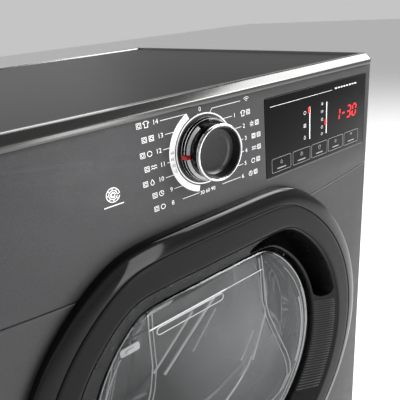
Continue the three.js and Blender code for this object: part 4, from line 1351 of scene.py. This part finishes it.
def stage():
    floor = bpy.data.meshes.new("floor")
    span = 14.0
    corners = [(-span, -span, 0.0), (span, -span, 0.0), (span, span, 0.0), (-span, span, 0.0)]
    floor.from_pydata(corners, [], [(0, 1, 2, 3)])
    look, tree, bsdf = new_look("pale_floor")
    tree.links.new(mix(tree, noise(tree, object_space(tree), 1.5), (0.8, 0.8, 0.8), (0.84, 0.84, 0.84)),
                   bsdf.inputs["Base Color"])
    put(bsdf, {"Roughness": 0.7, "Specular IOR Level": 0.1, "Emission Color": (1.0, 1.0, 1.0, 1.0),
               "Emission Strength": 0.28})
    floor.materials.append(look)
    ground = bpy.data.objects.new("floor", floor)
    bpy.context.scene.collection.objects.link(ground)

    world = bpy.data.worlds.new("studio")
    world.use_nodes = True
    tree = world.node_tree
    sky = tree.nodes["Background"]
    place = tree.nodes.new("ShaderNodeTexCoord")
    parts = tree.nodes.new("ShaderNodeSeparateXYZ")
    tree.links.new(place.outputs["Generated"], parts.inputs["Vector"])
    ramp = tree.nodes.new("ShaderNodeValToRGB")
    height = spread(tree, parts.outputs["Z"], -1.0, 1.0, 0.0, 1.0)
    tree.links.new(height, ramp.inputs["Fac"])
    levels = ((0.0, 0.9), (0.64, 0.9), (0.72, 0.3), (0.88, 0.22), (0.97, 0.12))
    for i, (spot, level) in enumerate(levels):
        stop = ramp.color_ramp.elements[i] if i < 2 else ramp.color_ramp.elements.new(spot)
        stop.position = spot
        stop.color = (level, level, level, 1.0)
    tree.links.new(ramp.outputs["Color"], sky.inputs["Color"])
    put(sky, {"Strength": 0.62})
    bpy.context.scene.world = world
    bpy.context.scene.view_settings.view_transform = "Standard"

    lamp("key", (1.5, -1.7, 1.7), (0, 0, 0.6), (1.3, 1.3), 26)
    lamp("side", (3.0, -0.7, 2.6), (0.2, -0.25, 0.84), (2.2, 2.2), 110)
    lamp("near", (0.85, -1.0, 1.3), (0.1, -0.28, 0.75), (0.5, 0.5), 6)
    lamp("panel", (0.55, -2.1, 0.5), (-0.1, -0.28, 0.6), (0.5, 1.1), 7)
    lamp("top", (0.9, 0.9, 2.9), (0, 0, 0.6), (1.4, 1.4), 22)
    lamp("back", (0.4, 2.4, 2.2), (0, 0, 0.6), (2.0, 1.2), 26)
    lamp("drum_light", at(60, 150, 690), at(0, 330, 420), (0.12, 0.04), 0.2)


CAMERA_LENS = 42.3
CAMERA_PLACE = (-294, -373, 929)
CAMERA_TURN = (37.0, 22.6, -5.2)  # azimuth, tilt down and roll, in degrees


def camera():
    """Close-up from the upper left in front of the machine."""
    data = bpy.data.cameras.new("camera")
    data.sensor_width = 36.0
    data.lens = CAMERA_LENS
    data.clip_start = 0.01
    obj = bpy.data.objects.new("camera", data)
    azimuth, down, roll = (radians(turned) for turned in CAMERA_TURN)
    ahead = Vector((sin(azimuth) * cos(down), cos(azimuth) * cos(down), -sin(down)))
    obj.location = at(*CAMERA_PLACE)
    obj.rotation_mode = "QUATERNION"
    obj.rotation_quaternion = ahead.to_track_quat("-Z", "Y") @ Matrix.Rotation(roll, 3, "Z").to_quaternion()
    bpy.context.scene.collection.objects.link(obj)
    bpy.context.scene.camera = obj


camera()
stage()
worktop()
front_shells()
fascia_print()
display()
knob()
door_trim()
door_dish()
grip_ribs()
door_inside()
vessel()
hinge()
drum()
side_panels()
back()
feet()
bulkhead()
coil("evaporator_block", "evaporator", 92, 150)
coil("condenser_block", "condenser", 162, 240)
carried_over()
